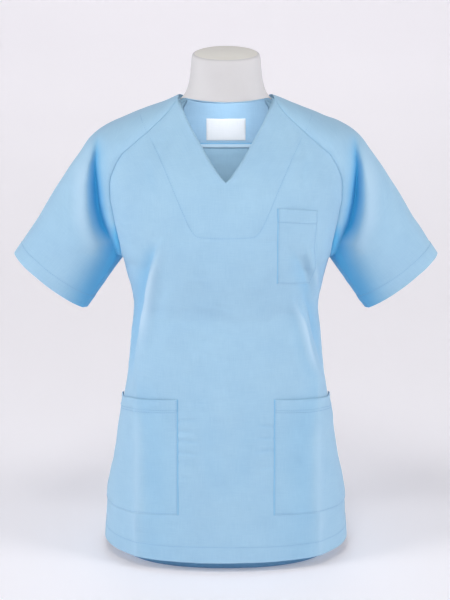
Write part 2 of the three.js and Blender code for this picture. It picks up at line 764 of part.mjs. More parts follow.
const group = new THREE.Group();
group.add(
  wallMesh("front_panel", frontSurface, clothWall, 0, colours.cloth),
  wallMesh("back_panel", backSurface, clothWall, 0, colours.cloth),
  wallMesh("sleeve_left", leftSleeve, clothWall, 0, colours.cloth),
  wallMesh("sleeve_right", rightSleeve, clothWall, 0, colours.cloth),
  patchPocket("pocket_left", "left", pocketRows, [innerColumns, allColumns]),
  patchPocket("pocket_right", "right", pocketRows, [innerColumns, allColumns]),
  patchPocket("chest_pocket", "left", chestRows, [innerColumns, innerColumns + pocketColumns]),
  backFacing(),
  neckLabel(),
  dressForm(),
);

// The origin is on the floor under the middle of the whole part.
const box = new THREE.Box3().setFromObject(group);
group.position.y = -(box.min.y + box.max.y) / 2;

export default group;
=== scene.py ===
import math

import bpy
import numpy as np
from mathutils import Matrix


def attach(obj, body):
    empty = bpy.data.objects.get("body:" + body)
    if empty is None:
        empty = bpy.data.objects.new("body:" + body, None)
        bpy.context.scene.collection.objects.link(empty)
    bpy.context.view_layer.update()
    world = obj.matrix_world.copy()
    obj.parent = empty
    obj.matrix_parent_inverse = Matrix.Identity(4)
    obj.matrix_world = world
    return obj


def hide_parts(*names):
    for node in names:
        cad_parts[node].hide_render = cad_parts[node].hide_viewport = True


# A scrub top worn by a limbless dress form. Shapes are worked out in millimetres, with the front towards -Y
# and the wearer's left towards +X, and go into the meshes in metres.
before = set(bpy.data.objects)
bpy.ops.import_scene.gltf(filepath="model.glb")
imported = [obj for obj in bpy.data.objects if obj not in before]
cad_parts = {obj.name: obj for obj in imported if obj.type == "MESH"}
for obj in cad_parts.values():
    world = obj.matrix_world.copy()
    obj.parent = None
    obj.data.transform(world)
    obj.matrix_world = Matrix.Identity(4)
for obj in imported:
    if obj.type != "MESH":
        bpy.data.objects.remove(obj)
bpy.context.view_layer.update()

rowShift = np.array([0.0, 5.0, 0.0])  # the CAD puts the whole part 5 mm back, so that its box is centred


# ---- camera and studio

cameraSettings = {"place": (-0.0015, -3.395, 1.3751), "tilt": 74.0, "lens": 136.92, "sensor": 36.0}
cameraData = bpy.data.cameras.new("camera")
cameraData.lens = cameraSettings["lens"]
cameraData.sensor_width = cameraSettings["sensor"]
camera = bpy.data.objects.new("camera", cameraData)
camera.location = cameraSettings["place"]
camera.rotation_euler = (math.radians(cameraSettings["tilt"]), 0, 0)
bpy.context.scene.collection.objects.link(camera)
bpy.context.scene.camera = camera
bpy.context.scene.view_settings.view_transform = "Standard"

lights = [
    {"name": "left", "place": (-3.3, -1.5, 1.9), "aim": (0, 0, 0.42), "size": 1.7, "power": 56},
    {"name": "right", "place": (3.3, -1.5, 1.9), "aim": (0, 0, 0.42), "size": 1.7, "power": 54},
    {"name": "above", "place": (-0.3, -1.7, 3.2), "aim": (0, 0, 0.5), "size": 1.0, "power": 23},
    {"name": "backdrop", "place": (0, 3.4, 3.9), "aim": (0, 5.6, 0), "size": 3.0, "power": 57},
    {"name": "front", "place": (0, -3.42, 1.45), "aim": (0, 0, 0.66), "size": 0.12, "power": 16, "cone": 24},
    # a small lamp under the form's neck lights the inside of the back, where the others can't reach
    {"name": "neck", "place": (0, -0.04, 0.688), "aim": (0, 0.09, 0.655), "size": 0.04, "power": 0.05,
     "spread": 110},
]
worldSettings = {"colour": "F4F2F6", "strength": 0.1}


def linearColour(code):
    # sRGB hex to linear: a power curve, and a straight line near black
    value = np.array([int(code[i:i + 2], 16) / 255 for i in (0, 2, 4)])
    value = np.where(value <= 0.04045, value / 12.92, ((value + 0.055) / 1.055) ** 2.4)
    return (*value.tolist(), 1.0)


def aimedTurn(place, aim):
    away = np.array(place, float) - np.array(aim, float)
    return (math.atan2(math.hypot(away[0], away[1]), away[2]), 0, math.atan2(away[0], -away[1]))


for light in lights:
    data = bpy.data.lights.new(light["name"], "SPOT" if "cone" in light else "AREA")
    if "cone" in light:
        data.spot_size = math.radians(light["cone"])
        data.spot_blend = 1.0
        data.shadow_soft_size = light["size"]
    else:
        data.shape = "DISK"
        data.size = light["size"]
        data.spread = math.radians(light.get("spread", 180))
    data.energy = light["power"]
    lamp = bpy.data.objects.new(light["name"], data)
    lamp.location = light["place"]
    lamp.rotation_euler = aimedTurn(light["place"], light["aim"])
    lamp.visible_camera = False
    bpy.context.scene.collection.objects.link(lamp)

world = bpy.data.worlds.new("studio")
world.use_nodes = True
world.node_tree.nodes["Background"].inputs["Color"].default_value = linearColour(worldSettings["colour"])
world.node_tree.nodes["Background"].inputs["Strength"].default_value = worldSettings["strength"]
bpy.context.scene.world = world


# ---- materials

def addNode(material, kind, settings=None, links=None):
    # Settings are properties or inputs; a link comes from an output, or from a node's first output
    node = material.node_tree.nodes.new("ShaderNode" + kind)
    for key, value in (settings or {}).items():
        if isinstance(key, str) and hasattr(node, key):
            setattr(node, key, value)
        else:
            node.inputs[key].default_value = value
    for key, source in (links or {}).items():
        material.node_tree.links.new(getattr(source, "outputs", [source])[0], node.inputs[key])
    return node


def newMaterial(name):
    # An empty material and its texture coordinates
    material = bpy.data.materials.new(name)
    material.use_nodes = True
    material.node_tree.nodes.clear()
    return material, addNode(material, "TexCoord").outputs


def finishMaterial(material, settings, links):
    shader = addNode(material, "BsdfPrincipled", {"IOR": 1.5, **settings}, links)
    addNode(material, "OutputMaterial", {}, {"Surface": shader})
    return material


def compute(material, operation, *values):
    numbers = {i: value for i, value in enumerate(values) if isinstance(value, float)}
    links = {i: value for i, value in enumerate(values) if i not in numbers}
    return addNode(material, "Math", {"operation": operation, **numbers}, links)


def addNoise(material, place, size, detail, roughness=0.5):
    return addNode(material, "TexNoise", {"Scale": 1 / size, "Detail": detail, "Roughness": roughness},
                   {"Vector": place})


def addBump(material, strength, depth, height, under=None):
    links = {"Height": height, "Normal": under} if under else {"Height": height}
    return addNode(material, "Bump", {"Strength": strength, "Distance": depth}, links)


def addTones(material, source, settings, low=0.0, high=1.0):
    # From the dark tone to the light one, between two values of the source
    ramp = addNode(material, "ValToRGB", {}, {"Fac": source})
    for element, place, tone in zip(ramp.color_ramp.elements, (low, high), ("dark", "light")):
        element.position = place
        element.color = linearColour(settings[tone])
    return ramp


def mixTowards(material, share, base, code):
    return addNode(material, "Mix", {"data_type": "RGBA", 7: linearColour(code)}, {0: share, 6: base}).outputs[2]


def wovenCloth(name, settings):
    # Plain weave: height is sin(2 pi u / pitch) sin(2 pi v / pitch), on a UV map in metres along the two
    # threads. Slubs are noise drawn out along each thread, and the dye varies softly over the whole piece.
    material, place = newMaterial(name)
    axes = addNode(material, "SeparateXYZ", {}, {0: place["UV"]})
    slubSize = (settings["slubLength"], settings["slubWidth"])
    waves, slubs = [], []
    for axis in (0, 1):
        turn = compute(material, "MULTIPLY", axes.outputs[axis], 2 * math.pi / settings["pitch"])
        waves.append(compute(material, "SINE", turn))
        stretch = addNode(material, "Mapping", {"Scale": (1 / slubSize[axis], 1 / slubSize[1 - axis], 1)},
                          {"Vector": place["UV"]})
        slubs.append(addNoise(material, stretch, 1.0, 2.0, 0.6))
    weave = compute(material, "MULTIPLY", *waves)
    slub = compute(material, "ADD", *slubs)
    dye = addNoise(material, place["Object"], settings["dyePatch"], 3.0, 0.55)
    mixed = compute(material, "MULTIPLY_ADD", dye, 0.4, compute(material, "MULTIPLY", slub, 0.3))
    tone = addTones(material, mixed, settings, 0.38, 0.62)
    # painted shade: where the fold attribute is above zero the colour is mixed towards the deep blue, for the bluer
    # light that reaches the floor of a deep fold by way of other cloth; where it is below zero, on sharp ridges, it is
    # mixed towards the pale colour as a painted highlight
    fold = addNode(material, "Attribute", {"attribute_name": "fold"}).outputs["Fac"]
    ridge = compute(material, "MULTIPLY", fold, -1.0)
    ridge.use_clamp = True
    colour = mixTowards(material, ridge, mixTowards(material, fold, tone, settings["deep"]), settings["paintedRidgeHighlight"])
    fibre = addNoise(material, place["Object"], settings["fibrePatch"], 4.0, 0.7)
    relief = addBump(material, 0.35, settings["slubHeight"], slub)
    relief = addBump(material, 0.3, settings["fibreHeight"], fibre, relief)
    relief = addBump(material, 0.45, settings["threadHeight"], weave, relief)
    return finishMaterial(material, {
        "Roughness": settings["roughness"], "Specular IOR Level": 0.25, "Sheen Weight": settings["sheen"],
        "Sheen Roughness": 0.45, "Sheen Tint": linearColour(settings["sheenTint"]),
    }, {"Base Color": colour, "Normal": relief})


# Poplin of polyester and cotton: a matt surface with a soft bloom at the turn of each fold. Its threads lie
# 0.35 mm apart, too fine for the picture, so they are drawn at 0.9 mm.
# its deep colour is painted shade for the floors of folds, and its pale colour a painted highlight for sharp ridges
poplinSettings = {
    "pitch": 0.0009, "threadHeight": 0.00008, "slubLength": 0.024, "slubWidth": 0.0011, "slubHeight": 0.00012,
    "fibrePatch": 0.004, "fibreHeight": 0.0003, "dyePatch": 0.06, "roughness": 0.86, "sheen": 0.22,
    "sheenTint": "DDEBF8", "dark": "A0C8E3", "light": "A9D0E8", "deep": "28ACE6", "paintedRidgeHighlight": "CDE7F9",
}
poplin = wovenCloth("polyCottonPoplin", poplinSettings)
# the same cloth's wrong side is a little duller
poplinInside = wovenCloth("polyCottonPoplinInside", {**poplinSettings, "dark": "9CC3E2", "light": "A4CBE8",
                                                     "sheen": 0.12})
# woven satin tape for the label: finer and smoother than the cloth, with a faint gloss
labelTape = wovenCloth("wovenSatinTape", {
    **poplinSettings, "pitch": 0.0006, "threadHeight": 0.00004, "roughness": 0.6, "sheen": 0.1,
    "dark": "E3E8EE", "light": "EBEFF4", "sheenTint": "FFFFFF"})


def spunThread(name, settings):
    # Two-ply sewing thread: fine slanted plies, and a tone that drifts along the seam
    material, place = newMaterial(name)
    ply = addNode(material, "TexWave", {"wave_type": "BANDS", "bands_direction": "DIAGONAL",
                                        "Scale": 0.314 / settings["ply"], "Distortion": 0.6},
                  {"Vector": place["Object"]})
    drift = addNoise(material, place["Object"], settings["drift"], 2.0)
    return finishMaterial(material, {"Roughness": 0.55, "Sheen Weight": 0.1}, {
        "Base Color": addTones(material, drift, settings), "Normal": addBump(material, 0.5, 0.0001, ply)})


blueThread = spunThread("polyesterThreadBlue", {"ply": 0.0004, "drift": 0.02, "dark": "7CABD3", "light": "8EBBDF"})
whiteThread = spunThread("polyesterThreadWhite", {"ply": 0.0004, "drift": 0.02, "dark": "D9DEE4", "light": "E6EAEE"})


def mouldedShell(name, settings):
    # Glass-fibre shell sprayed white and left satin: a faint orange peel, soft patches of tone and gloss. The
    # studio's paper is made the same way, with a faint glow for the light that comes through it.
    material, place = newMaterial(name)
    peel = addNoise(material, place["Object"], settings["peel"], 2.0)
    patch = addNoise(material, place["Object"], settings["patch"], 4.0, 0.6)
    gloss = addNode(material, "MapRange", {"To Min": settings["gloss"][0], "To Max": settings["gloss"][1]},
                    {"Value": patch})
    return finishMaterial(material, {
        "Emission Color": linearColour(settings["light"]), "Emission Strength": settings.get("glow", 0.0),
    }, {"Base Color": addTones(material, patch, settings, 0.3, 0.7), "Roughness": gloss,
        "Normal": addBump(material, 0.15, 0.0003, peel)})


footSettings = {"peel": 0.003, "patch": 0.04, "gloss": (0.5, 0.62)}
shellSatin = mouldedShell("glassFibreSatinWhite", {"peel": 0.004, "patch": 0.09, "gloss": (0.42, 0.55),
                                                   "dark": "D3D2D2", "light": "D9D8D8"})
# the foot's blue-grey is painted shade, for the shadow and the blue light bounced from the cloth under the hem
shellFootPaintedShade = mouldedShell("glassFibreFootPaintedShade", {**footSettings, "dark": "5C93BC", "light": "689EC6"})
shellCap = mouldedShell("glassFibreCapWhite", {**footSettings, "dark": "E7E5DD", "light": "ECEAE2"})
studioPaper = mouldedShell("seamlessPaper", {"peel": 0.01, "patch": 1.5, "gloss": (0.9, 0.95),
                                             "dark": "F4F2F6", "light": "F8F6FA", "glow": 0.14})
print("materials made")


# ---- curves and sheets

def smoothCurve(at, value, x):
    # Cubic through the rows of a table; each slope is the harmonic mean of the steps beside its row, so that
    # nothing overshoots
    at, value = np.asarray(at, float), np.asarray(value, float)
    step = np.diff(value) / np.diff(at)
    before, after = np.concatenate([step[:1], step]), np.concatenate([step, step[-1:]])
    same = before * after > 0
    slope = np.where(same, 2 * before * after / np.where(same, before + after, 1), 0)
    place = np.clip(x, at[0], at[-1])
    i = np.clip(np.searchsorted(at, place) - 1, 0, len(at) - 2)
    run = at[i + 1] - at[i]
    t = (place - at[i]) / run
    s = 1 - t
    return (s * s * (1 + 2 * t) * value[i] + t * t * (3 - 2 * t) * value[i + 1]
            + run * t * s * (s * slope[i] - t * slope[i + 1]))


def column(table, name):
    return np.array([row[table["columns"].index(name)] for row in table["rows"]], float)


def along(table, name, x, key="z"):
    return smoothCurve(column(table, key), column(table, name), x)


def unit(vectors):
    return vectors / np.maximum(np.linalg.norm(vectors, axis=-1, keepdims=True), 1e-9)


def bell(distance, width):
    return np.exp(-((distance / width) ** 2))


def smoothStep(x, low, high):
    t = np.clip((x - low) / (high - low), 0, 1)
    return t * t * (3 - 2 * t)


def lengthsAlong(points, axis):
    # Length of the way along each row or column of a grid, from its first point
    steps = np.linalg.norm(np.diff(points, axis=axis), axis=-1)
    start = np.zeros_like(np.take(steps, [0], axis=axis))
    return np.cumsum(np.concatenate([start, steps], axis=axis), axis=axis)


def gridNormals(points, flip):
    normal = np.cross(np.gradient(points, axis=1), np.gradient(points, axis=0))
    return unit(-normal if flip else normal)


def gradedSteps(count, edges, atStart=True, atEnd=True):
    # Even steps from 0 to 1, with the extra near steps beside one or both ends
    inner = np.linspace(edges[-1] if atStart else 0, 1 - edges[-1] if atEnd else 1, count)
    near = np.array([0, *edges[:-1]])
    parts = [near] if atStart else []
    parts.append(inner)
    if atEnd:
        parts.append(1 - near[::-1])
    return np.concatenate(parts)


def foldField(folds, x, z, sharp=0):
    # Depth of the folds at places seen from the front: each one follows a smooth path, and falls off to its
    # two sides as a bell. A path's row is x, z, depth, left width, right width, or one width for both sides.
    # With sharp above 0 a fold falls off as exp(-(sqrt(gap^2 + sharp^2) - sharp) / width), nearly to a crease.
    total = np.zeros_like(x)
    seen = np.stack([x, z], axis=-1)
    for fold in folds:
        rows = np.array([(*row, row[3])[:5] for row in fold], float)
        way = lengthsAlong(rows[:, :2], 0)
        fine = np.linspace(0, way[-1], max(6, int(way[-1] / 9)))
        path = np.stack([smoothCurve(way, rows[:, i], fine) for i in range(5)], axis=1)
        reach = 3.2 * path[:, 3:].max()
        near = ((seen > path[:, :2].min(0) - reach) & (seen < path[:, :2].max(0) + reach)).all(-1)
        if not near.any():
            continue
        a, b = path[:-1], path[1:]
        step = b[:, :2] - a[:, :2]
        apart = seen[near][:, None] - a[:, :2]
        share = np.clip((apart * step).sum(-1) / (step ** 2).sum(1), 0, 1)
        apart = apart - share[..., None] * step
        gap = np.hypot(apart[..., 0], apart[..., 1])
        best = gap.argmin(axis=1)
        own = (np.arange(len(best)), best)
        gap, apart, share = gap[own], apart[own], share[own]
        value = a[best, 2:] + (b - a)[best, 2:] * share[:, None]
        left = step[best, 0] * apart[:, 1] - step[best, 1] * apart[:, 0] > 0
        width = np.where(left, value[:, 1], value[:, 2])
        fall = np.exp(-(np.hypot(gap, sharp) - sharp) / width) if sharp else bell(gap, width)
        total[near] += value[:, 0] * fall
    return total


def rippleField(x, z, seed, waves=14, lengths=(34, 110)):
    # Slow unevenness of cloth: a sum of sine waves in random directions, scaled to about -1 to 1
    draw = np.random.default_rng(seed)
    total = np.zeros_like(x)
    for _ in range(waves):
        turn, phase = draw.uniform(0, 2 * np.pi, 2)
        length = draw.uniform(*lengths)
        total += np.sin(2 * np.pi * (x * np.cos(turn) + z * np.sin(turn)) / length + phase)
    return total / np.sqrt(waves)


def gridQuads(rows, columns, flip):
    first = np.arange(rows * columns).reshape(rows, columns)
    a, b, e, d = first[:-1, :-1], first[:-1, 1:], first[1:, 1:], first[1:, :-1]
    corners = (a, d, e, b) if flip else (a, b, e, d)
    return np.stack([corner.ravel() for corner in corners], axis=1)


def weldGrids(grids):
    # Grids as one sheet: their points and quads together, with points at the same place made one
    points, uvs, folds, quads, total = [], [], [], [], 0
    for grid in grids:
        rows, columns = grid["points"].shape[:2]
        points.append(grid["points"].reshape(-1, 3))
        uvs.append(grid["uv"].reshape(-1, 2))
        folds.append(grid.get("fold", np.zeros((rows, columns))).ravel())
        quads.append(gridQuads(rows, columns, grid["flip"]) + total)
        total += rows * columns
    points, uvs, folds, quads = (np.concatenate(part) for part in (points, uvs, folds, quads))
    placesPerMillimetre = 200
    _, first, place = np.unique(np.round(points * placesPerMillimetre).astype(np.int64), axis=0, return_index=True,
                                return_inverse=True)
    return {"points": points[first], "uv": uvs[first], "fold": folds[first], "quads": place.ravel()[quads]}


def sheetNormals(points, quads):
    corners = points[quads]
    normal = np.cross(corners[:, 2] - corners[:, 0], corners[:, 3] - corners[:, 1])
    total = np.zeros_like(points)
    for i in range(4):
        np.add.at(total, quads[:, i], normal)
    return unit(total)


def borderOf(quads):
    # Edges that only one quad has, each in that quad's direction
    edges = np.concatenate([quads[:, [i, (i + 1) % 4]] for i in range(4)])
    edges = edges[edges[:, 0] != edges[:, 1]]
    size = int(quads.max()) + 1
    forward = edges[:, 0] * size + edges[:, 1]
    backward = edges[:, 1] * size + edges[:, 0]
    return edges[~np.isin(forward, backward)]


def closedShell(sheet, outer, inner):
    # Two copies of the sheet, moved out and in along its normals, and joined round the border
    points, quads = sheet["points"], sheet["quads"]
    normals = sheetNormals(points, quads)
    count = len(points)
    start, end = borderOf(quads).T
    rim = np.stack([end, start, start + count, end + count], axis=1)
    return {
        "points": np.concatenate([points + normals * outer, points + normals * inner]),
        "uv": np.concatenate([sheet["uv"]] * 2),
        "fold": np.concatenate([sheet["fold"]] * 2),
        "faces": np.concatenate([quads, quads[:, ::-1] + count, rim]),
    }


def makePiece(name, shape, material, replaced=()):
    # Puts points, faces and UVs into a mesh, leaving out faces that have closed to a line
    faces = shape["faces"]
    keep = faces != np.roll(faces, -1, axis=1)
    good = keep.sum(axis=1) >= 3
    faces, keep = faces[good], keep[good]
    corners = faces[keep]
    mesh = bpy.data.meshes.new(name)
    mesh.vertices.add(len(shape["points"]))
    mesh.vertices.foreach_set("co", ((shape["points"] + rowShift) / 1000).astype(np.float32).ravel())
    mesh.loops.add(len(corners))
    mesh.loops.foreach_set("vertex_index", corners.astype(np.int32))
    mesh.polygons.add(len(faces))
    starts = np.concatenate([[0], np.cumsum(keep.sum(axis=1))[:-1]])
    mesh.polygons.foreach_set("loop_start", starts.astype(np.int32))
    mesh.polygons.foreach_set("use_smooth", np.ones(len(faces), bool))
    if "uv" in shape:
        layer = mesh.uv_layers.new(name="threads")
        layer.data.foreach_set("uv", (shape["uv"][corners] / 1000).astype(np.float32).ravel())
    if "fold" in shape:
        mesh.attributes.new("fold", "FLOAT", "POINT").data.foreach_set("value", shape["fold"].astype(np.float32))
    mesh.update(calc_edges=True)
    mesh.validate()
    piece = bpy.data.objects.new(name, mesh)
    mesh.materials.append(material)
    bpy.context.scene.collection.objects.link(piece)
    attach(piece, "root")
    if replaced:
        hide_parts(*replaced)
    return piece


def makeSheet(name, grids, walls, replaced, material=poplin):
    # A piece of cloth: a sheet of grids, as thick as its outer and inner walls are apart
    makePiece(name, closedShell(weldGrids(grids), *walls), material, [replaced])


# ---- the body of the top: front and back as rounded rings

bodySizes = {
    "power": 2.3, "armpit": 473, "shoulder": 717.5, "hem": 17, "hemStitch": 37, "ventTop": 47, "ventGape": 3.5,
    "ventReach": 34, "backNeck": 699.8, "backNeckSide": 709, "flatEdge": 26, "ripple": 0.6, "fineRipple": 0.2,
}
hemSizes = {"doubled": 0.7, "dip": 0.55, "dipWidth": 2.0, "pucker": 0.25, "puckerWidth": 9}
seamSizes = {"groove": 1.35, "grooveWidth": 1.0, "pucker": 0.25, "puckerWidth": 6}
veeSizes = {"foot": 600, "roll": 0.8, "rollPlace": 5, "rollWidth": 3.4, "turn": 3.2, "turnWidth": 1.9}
# how much painted shade a valley gets and how much painted highlight a ridge gets, and the depth in millimetres at
# which it gets all of it
bodyPaintedShading = {"valley": 0.25, "ridge": 0.6, "full": 8}
panelWalls = (0.8, -0.4)
armpit = bodySizes["armpit"]
# how fast the back's rows sink from the side to the centre above the armpit
backReach = (bodySizes["backNeck"] - armpit) / (bodySizes["backNeckSide"] - armpit)
sideWidths = {"columns": ["z", "side"], "rows": [
    (17, 190.7), (52, 188.6), (86, 186.6), (120, 180.6), (154, 173), (220, 163.5), (286, 152.5), (352, 146.2),
    (395, 142), (426, 146.2), (473, 157.2)]}
centreDepths = {"columns": ["z", "front", "back"], "rows": [
    (17, 134, 124), (86, 131, 123.5), (154, 127, 121.5), (220, 123.5, 116), (286, 118.5, 107), (352, 112, 96),
    (395, 110, 92), (426, 117, 93), (473, 126, 97), (500, 128, 99), (530, 127, 100), (560, 123, 99.5),
    (590, 114, 97.5), (612, 104, 94.5), (635, 90, 90), (650, 78, 86), (665, 65, 80.5), (680, 52, 73),
    (690, 43, 66.5), (698, 35, 60), (706, 27, 52), (716, 18, 40)]}
armhole = {
    "columns": ["z", "frontX", "frontY", "backX", "backY", "backZ", "topX", "topY", "topZ", "turn"],
    "rows": [
        (473, 157.2, 0, 157.2, 0, 473, 275.6, 0, 550.3, -90),
        (479, 158, 31, 158, 31, 479, 272.9, 0, 555.5, -60),
        (488, 159, 43, 159, 44, 488, 268.6, 0, 564, -46),
        (504, 161, 52, 160.5, 55, 503, 260.6, 0, 576.6, -33),
        (531, 166.3, 56.5, 163.5, 62, 531, 245.5, 0, 600, -24),
        (558, 171, 58.5, 165, 66, 559, 230.6, 0, 621.7, -19),
        (579, 174, 59.5, 164, 68, 582, 218.5, 0, 638.3, -16),
        (600, 174, 60.5, 158.5, 69.5, 603, 207.2, 0.5, 654.8, -12),
        (620, 168.5, 61, 152, 70.5, 621, 192, 1, 668.4, -8),
        (641, 157, 59, 137, 70, 645, 172, 1.5, 680.1, -4),
        (657, 139.5, 55, 118, 67.5, 663, 151.4, 2, 687.9, 2),
        (671, 122, 48, 100, 63, 677, 131.5, 2.5, 696.4, 6),
        (685, 105, 39, 84, 56, 689, 111.8, 3, 704.2, 11),
        (699, 89.5, 28, 71, 49.5, 699.5, 92.6, 3.5, 711.6, 14),
        (717.5, 73, 10, 58, 42, 709, 71.5, 4, 720.8, 17)]}
veeEdge = {"columns": ["z", "x"], "rows": [(610, 0), (620, 9), (642, 25.5), (661, 37.5), (694, 58.5), (718.8, 70.5)]}
rowRise = {"columns": ["z", "rise"], "rows": [
    (17, 0), (80, 15), (258, 21), (441, 22), (558, 19), (600, 12), (657, 6.5), (699, 3), (717.5, 1.3)]}
pocketOuterEdge = {"columns": ["z", "x"], "rows": [(17, 138), (300, 118), (441, 127.7), (558, 137)]}


def acrossShare(angle):
    return np.sin(angle) ** (2 / bodySizes["power"])


def alongShare(angle):
    return np.maximum(np.cos(angle), 0) ** (2 / bodySizes["power"])


def angleOfWidth(ratio):
    return np.arcsin(np.clip(ratio, 0, 1) ** (bodySizes["power"] / 2))


def angleOfDepth(ratio):
    return np.arccos(np.clip(ratio, 0, 1) ** (bodySizes["power"] / 2))


def ringAt(half, z):
    # Depth, half width and seam angle of the body's ring at a height. Above the armpit the ring is as wide
    # as it must be to pass through the raglan seam.
    key = "backZ" if half == "back" else "z"
    depth = along(centreDepths, half, z)
    seamX, seamY = (along(armhole, half + axis, z, key) for axis in "XY")
    low = z <= armpit
    seam = np.where(low, np.pi / 2, angleOfDepth(seamY / depth))
    width = np.where(low, along(sideWidths, "side", z), seamX / acrossShare(seam))
    return depth, width, seam


def ringPoint(half, side, angle, z):
    depth, width, _ = ringAt(half, z)
    direction = 1 if half == "back" else -1
    return np.stack([side * width * acrossShare(angle), direction * depth * alongShare(angle),
                     z + 0 * angle], axis=-1)


def frontSheet(side, t, sideZ):
    # Front at share t of the way from the centre or V edge to the side, on rows that bow up at the centre
    centreZ = sideZ + along(rowRise, "rise", sideZ)
    _, centreWidth, _ = ringAt("front", centreZ)
    start = angleOfWidth(along(veeEdge, "x", centreZ) / centreWidth)
    _, _, end = ringAt("front", sideZ)
    angle = start + (end - start) * t
    spread = (acrossShare(angle) - acrossShare(start)) / (acrossShare(end) - acrossShare(start))
    z = centreZ + (sideZ - centreZ) * spread ** 2
    return ringPoint("front", side, angle, z)


def backSheet(side, t, sideZ):
    # Back at share t of the way to its side; its rows sink to the centre above the armpit
    centreZ = np.where(sideZ > armpit, armpit + (sideZ - armpit) * backReach, sideZ)
    _, _, end = ringAt("back", sideZ)
    angle = end * t
    spread = acrossShare(angle) / acrossShare(end)
    z = centreZ + (sideZ - centreZ) * spread ** 2
    return ringPoint("back", side, angle, z)


frontFolds = [
    # drawn down from the wearer's right armpit: a bright ridge with a valley outside it
    [(-92, 532, 0, 9, 3.4), (-100, 505, -4.2, 9, 3.4), (-110, 470, -8.2, 10, 3.8), (-121, 396, -8.4, 11, 4.4),
     (-131, 345, -5.0, 12, 6), (-141, 296, 0, 12, 7)],
    [(-104, 520, 0, 5, 9), (-114, 490, 4.5, 5, 10), (-122, 455, 5.0, 5, 13), (-133, 392, 4.4, 6, 16),
     (-143, 330, 4.6, 8, 15), (-152, 285, 2.5, 9, 13), (-158, 250, 0, 9, 12)],
    # the same on the wearer's left, in two lengths
    [(86, 526, 0, 6, 9), (97, 506, 2.2, 7, 10), (109, 488, 3.2, 9, 12), (118, 464, 3.3, 9, 12),
     (124, 440, 2.4, 8, 10), (127, 422, 0, 8, 9)],
    [(117, 532, 0, 7, 4), (123, 500, -4.4, 7, 4), (130, 468, -6.6, 7, 4.4), (135, 436, -3.8, 7, 5),
     (138, 416, 0, 7)],
    [(98, 440, 0, 3.6, 8), (105, 414, -5.0, 3.6, 9), (116, 380, -7.8, 4.2, 10), (127, 333, -7.2, 4.6, 11),
     (140, 292, -3.0, 6, 11), (147, 266, 0, 7, 10)],
    [(117, 442, 0, 7, 6), (126, 412, 5.2, 7, 5), (137, 372, 7.0, 7, 6), (150, 316, 4.6, 8, 6), (159, 272, 0, 8, 7)],
    # small wrinkles under the bust and at the waist
    [(-28, 425, 0, 4), (-8, 422, 0.7, 4, 3), (20, 415, 0, 4)],
    [(-74, 364, 0, 5), (-30, 366, 0.45, 6, 4), (40, 367, 0, 5)],
    [(-52, 300, 0, 18), (-36, 250, 0.9, 20), (-22, 180, 1.1, 22, 20), (-12, 110, 0, 20)],
    [(60, 300, 0, 18), (42, 245, 0.9, 20), (26, 175, 1.1, 22, 20), (12, 105, 0, 20)],
    [(0, 520, 0, 16), (4, 440, -0.8, 22), (2, 330, -0.8, 24), (0, 230, 0, 20)],
    # small drags at the shoulders and at the raglan seams
    [(-118, 640, 0, 6), (-112, 618, 0.8, 6, 8), (-104, 590, 0, 7, 8)],
    [(122, 644, 0, 6), (117, 620, 0.7, 7, 6), (110, 596, 0, 7)],
    [(-166, 545, 0, 4), (-158, 541, 0.8, 4, 3), (-146, 536, 0, 4)],
    [(-163, 522, 0, 4), (-154, 517, 1.0, 5, 4), (-140, 510, 0, 5, 4)],
    [(166, 540, 0, 4), (157, 535, 0.8, 4, 3), (146, 529, 0, 4)],
]
# puckers beside the lower pockets: each from the pocket's edge over its deepest place to its end
puckers = [
    (-72, 239, 1.1, -60, 242, 1.5, -39, 245), (-72, 224, 1.3, -60, 224, 1.7, -44, 224),
    (-72, 210, 1.3, -58, 209, 1.9, -36, 208), (-72, 191, 1.3, -58, 190, 1.7, -40, 189),
    (-72, 175, 1.1, -60, 174, 1.5, -47, 173), (-72, 150, 0.6, -62, 151, 1.3, -50, 153),
    (72, 232, 1.1, 60, 234, 1.5, 44, 237), (72, 214, 1.3, 60, 214, 1.7, 42, 215),
    (72, 196, 1.3, 58, 195, 1.7, 38, 193), (72, 168, 0.8, 60, 167, 1.3, 46, 165)]
for pucker in puckers:
    frontFolds.append([(*pucker[:3], 3, 2.4), (*pucker[3:6], 3, 2.4), (*pucker[6:], 0, 3, 2.4)])
# pressed creases down the lower part: the cloth outside each one turns away to the side
pressedCreases = [
    [(-134, 300, 0, 24, 9), (-135.5, 258, -4.0, 30, 12), (-136.5, 199, -6.0, 32, 15), (-137, 106, -6.0, 32, 15),
     (-138, 17, -5.0, 32, 15)],
    [(138, 300, 0, 9, 24), (140, 258, -4.0, 12, 30), (141.3, 197, -6.0, 15, 32), (142.3, 105, -6.0, 15, 32),
     (143, 17, -5.0, 15, 32)],
]
# painted shade only, with no move of the cloth: inside each pressed crease the colour is a little deeper, with a sharp
# edge along the crease, and so it is in the valleys beside the ridges that are drawn down from the armpits
paintedCreaseShade = [
    [(-104, 522, 0, 3, 10), (-115, 484, 0.10, 4, 13), (-124, 446, 0.13, 4, 15), (-134, 392, 0.13, 5, 18),
     (-143, 330, 0.10, 6, 17), (-152, 285, 0, 8, 14)],
    [(96, 512, 0, 4, 12), (109, 484, 0.10, 3, 13), (118, 456, 0.12, 3, 12), (124, 426, 0, 4, 10)],
    [(103, 424, 0, 3, 10), (113, 388, 0.12, 3, 12), (125, 340, 0.14, 3, 14), (139, 294, 0.08, 4, 14),
     (147, 264, 0, 6, 12)],
    [(-134, 292, 0, 30, 1.2), (-135.5, 258, 0.10, 44, 1.4), (-136.5, 199, 0.15, 52, 1.4), (-137, 106, 0.14, 52, 1.4),
     (-138, 17, 0.09, 52, 1.4)],
    [(138, 292, 0, 1.2, 30), (140, 258, 0.12, 1.4, 44), (141.3, 197, 0.17, 1.4, 52), (142.3, 105, 0.16, 1.4, 52),
     (143, 17, 0.10, 1.4, 52)],
]
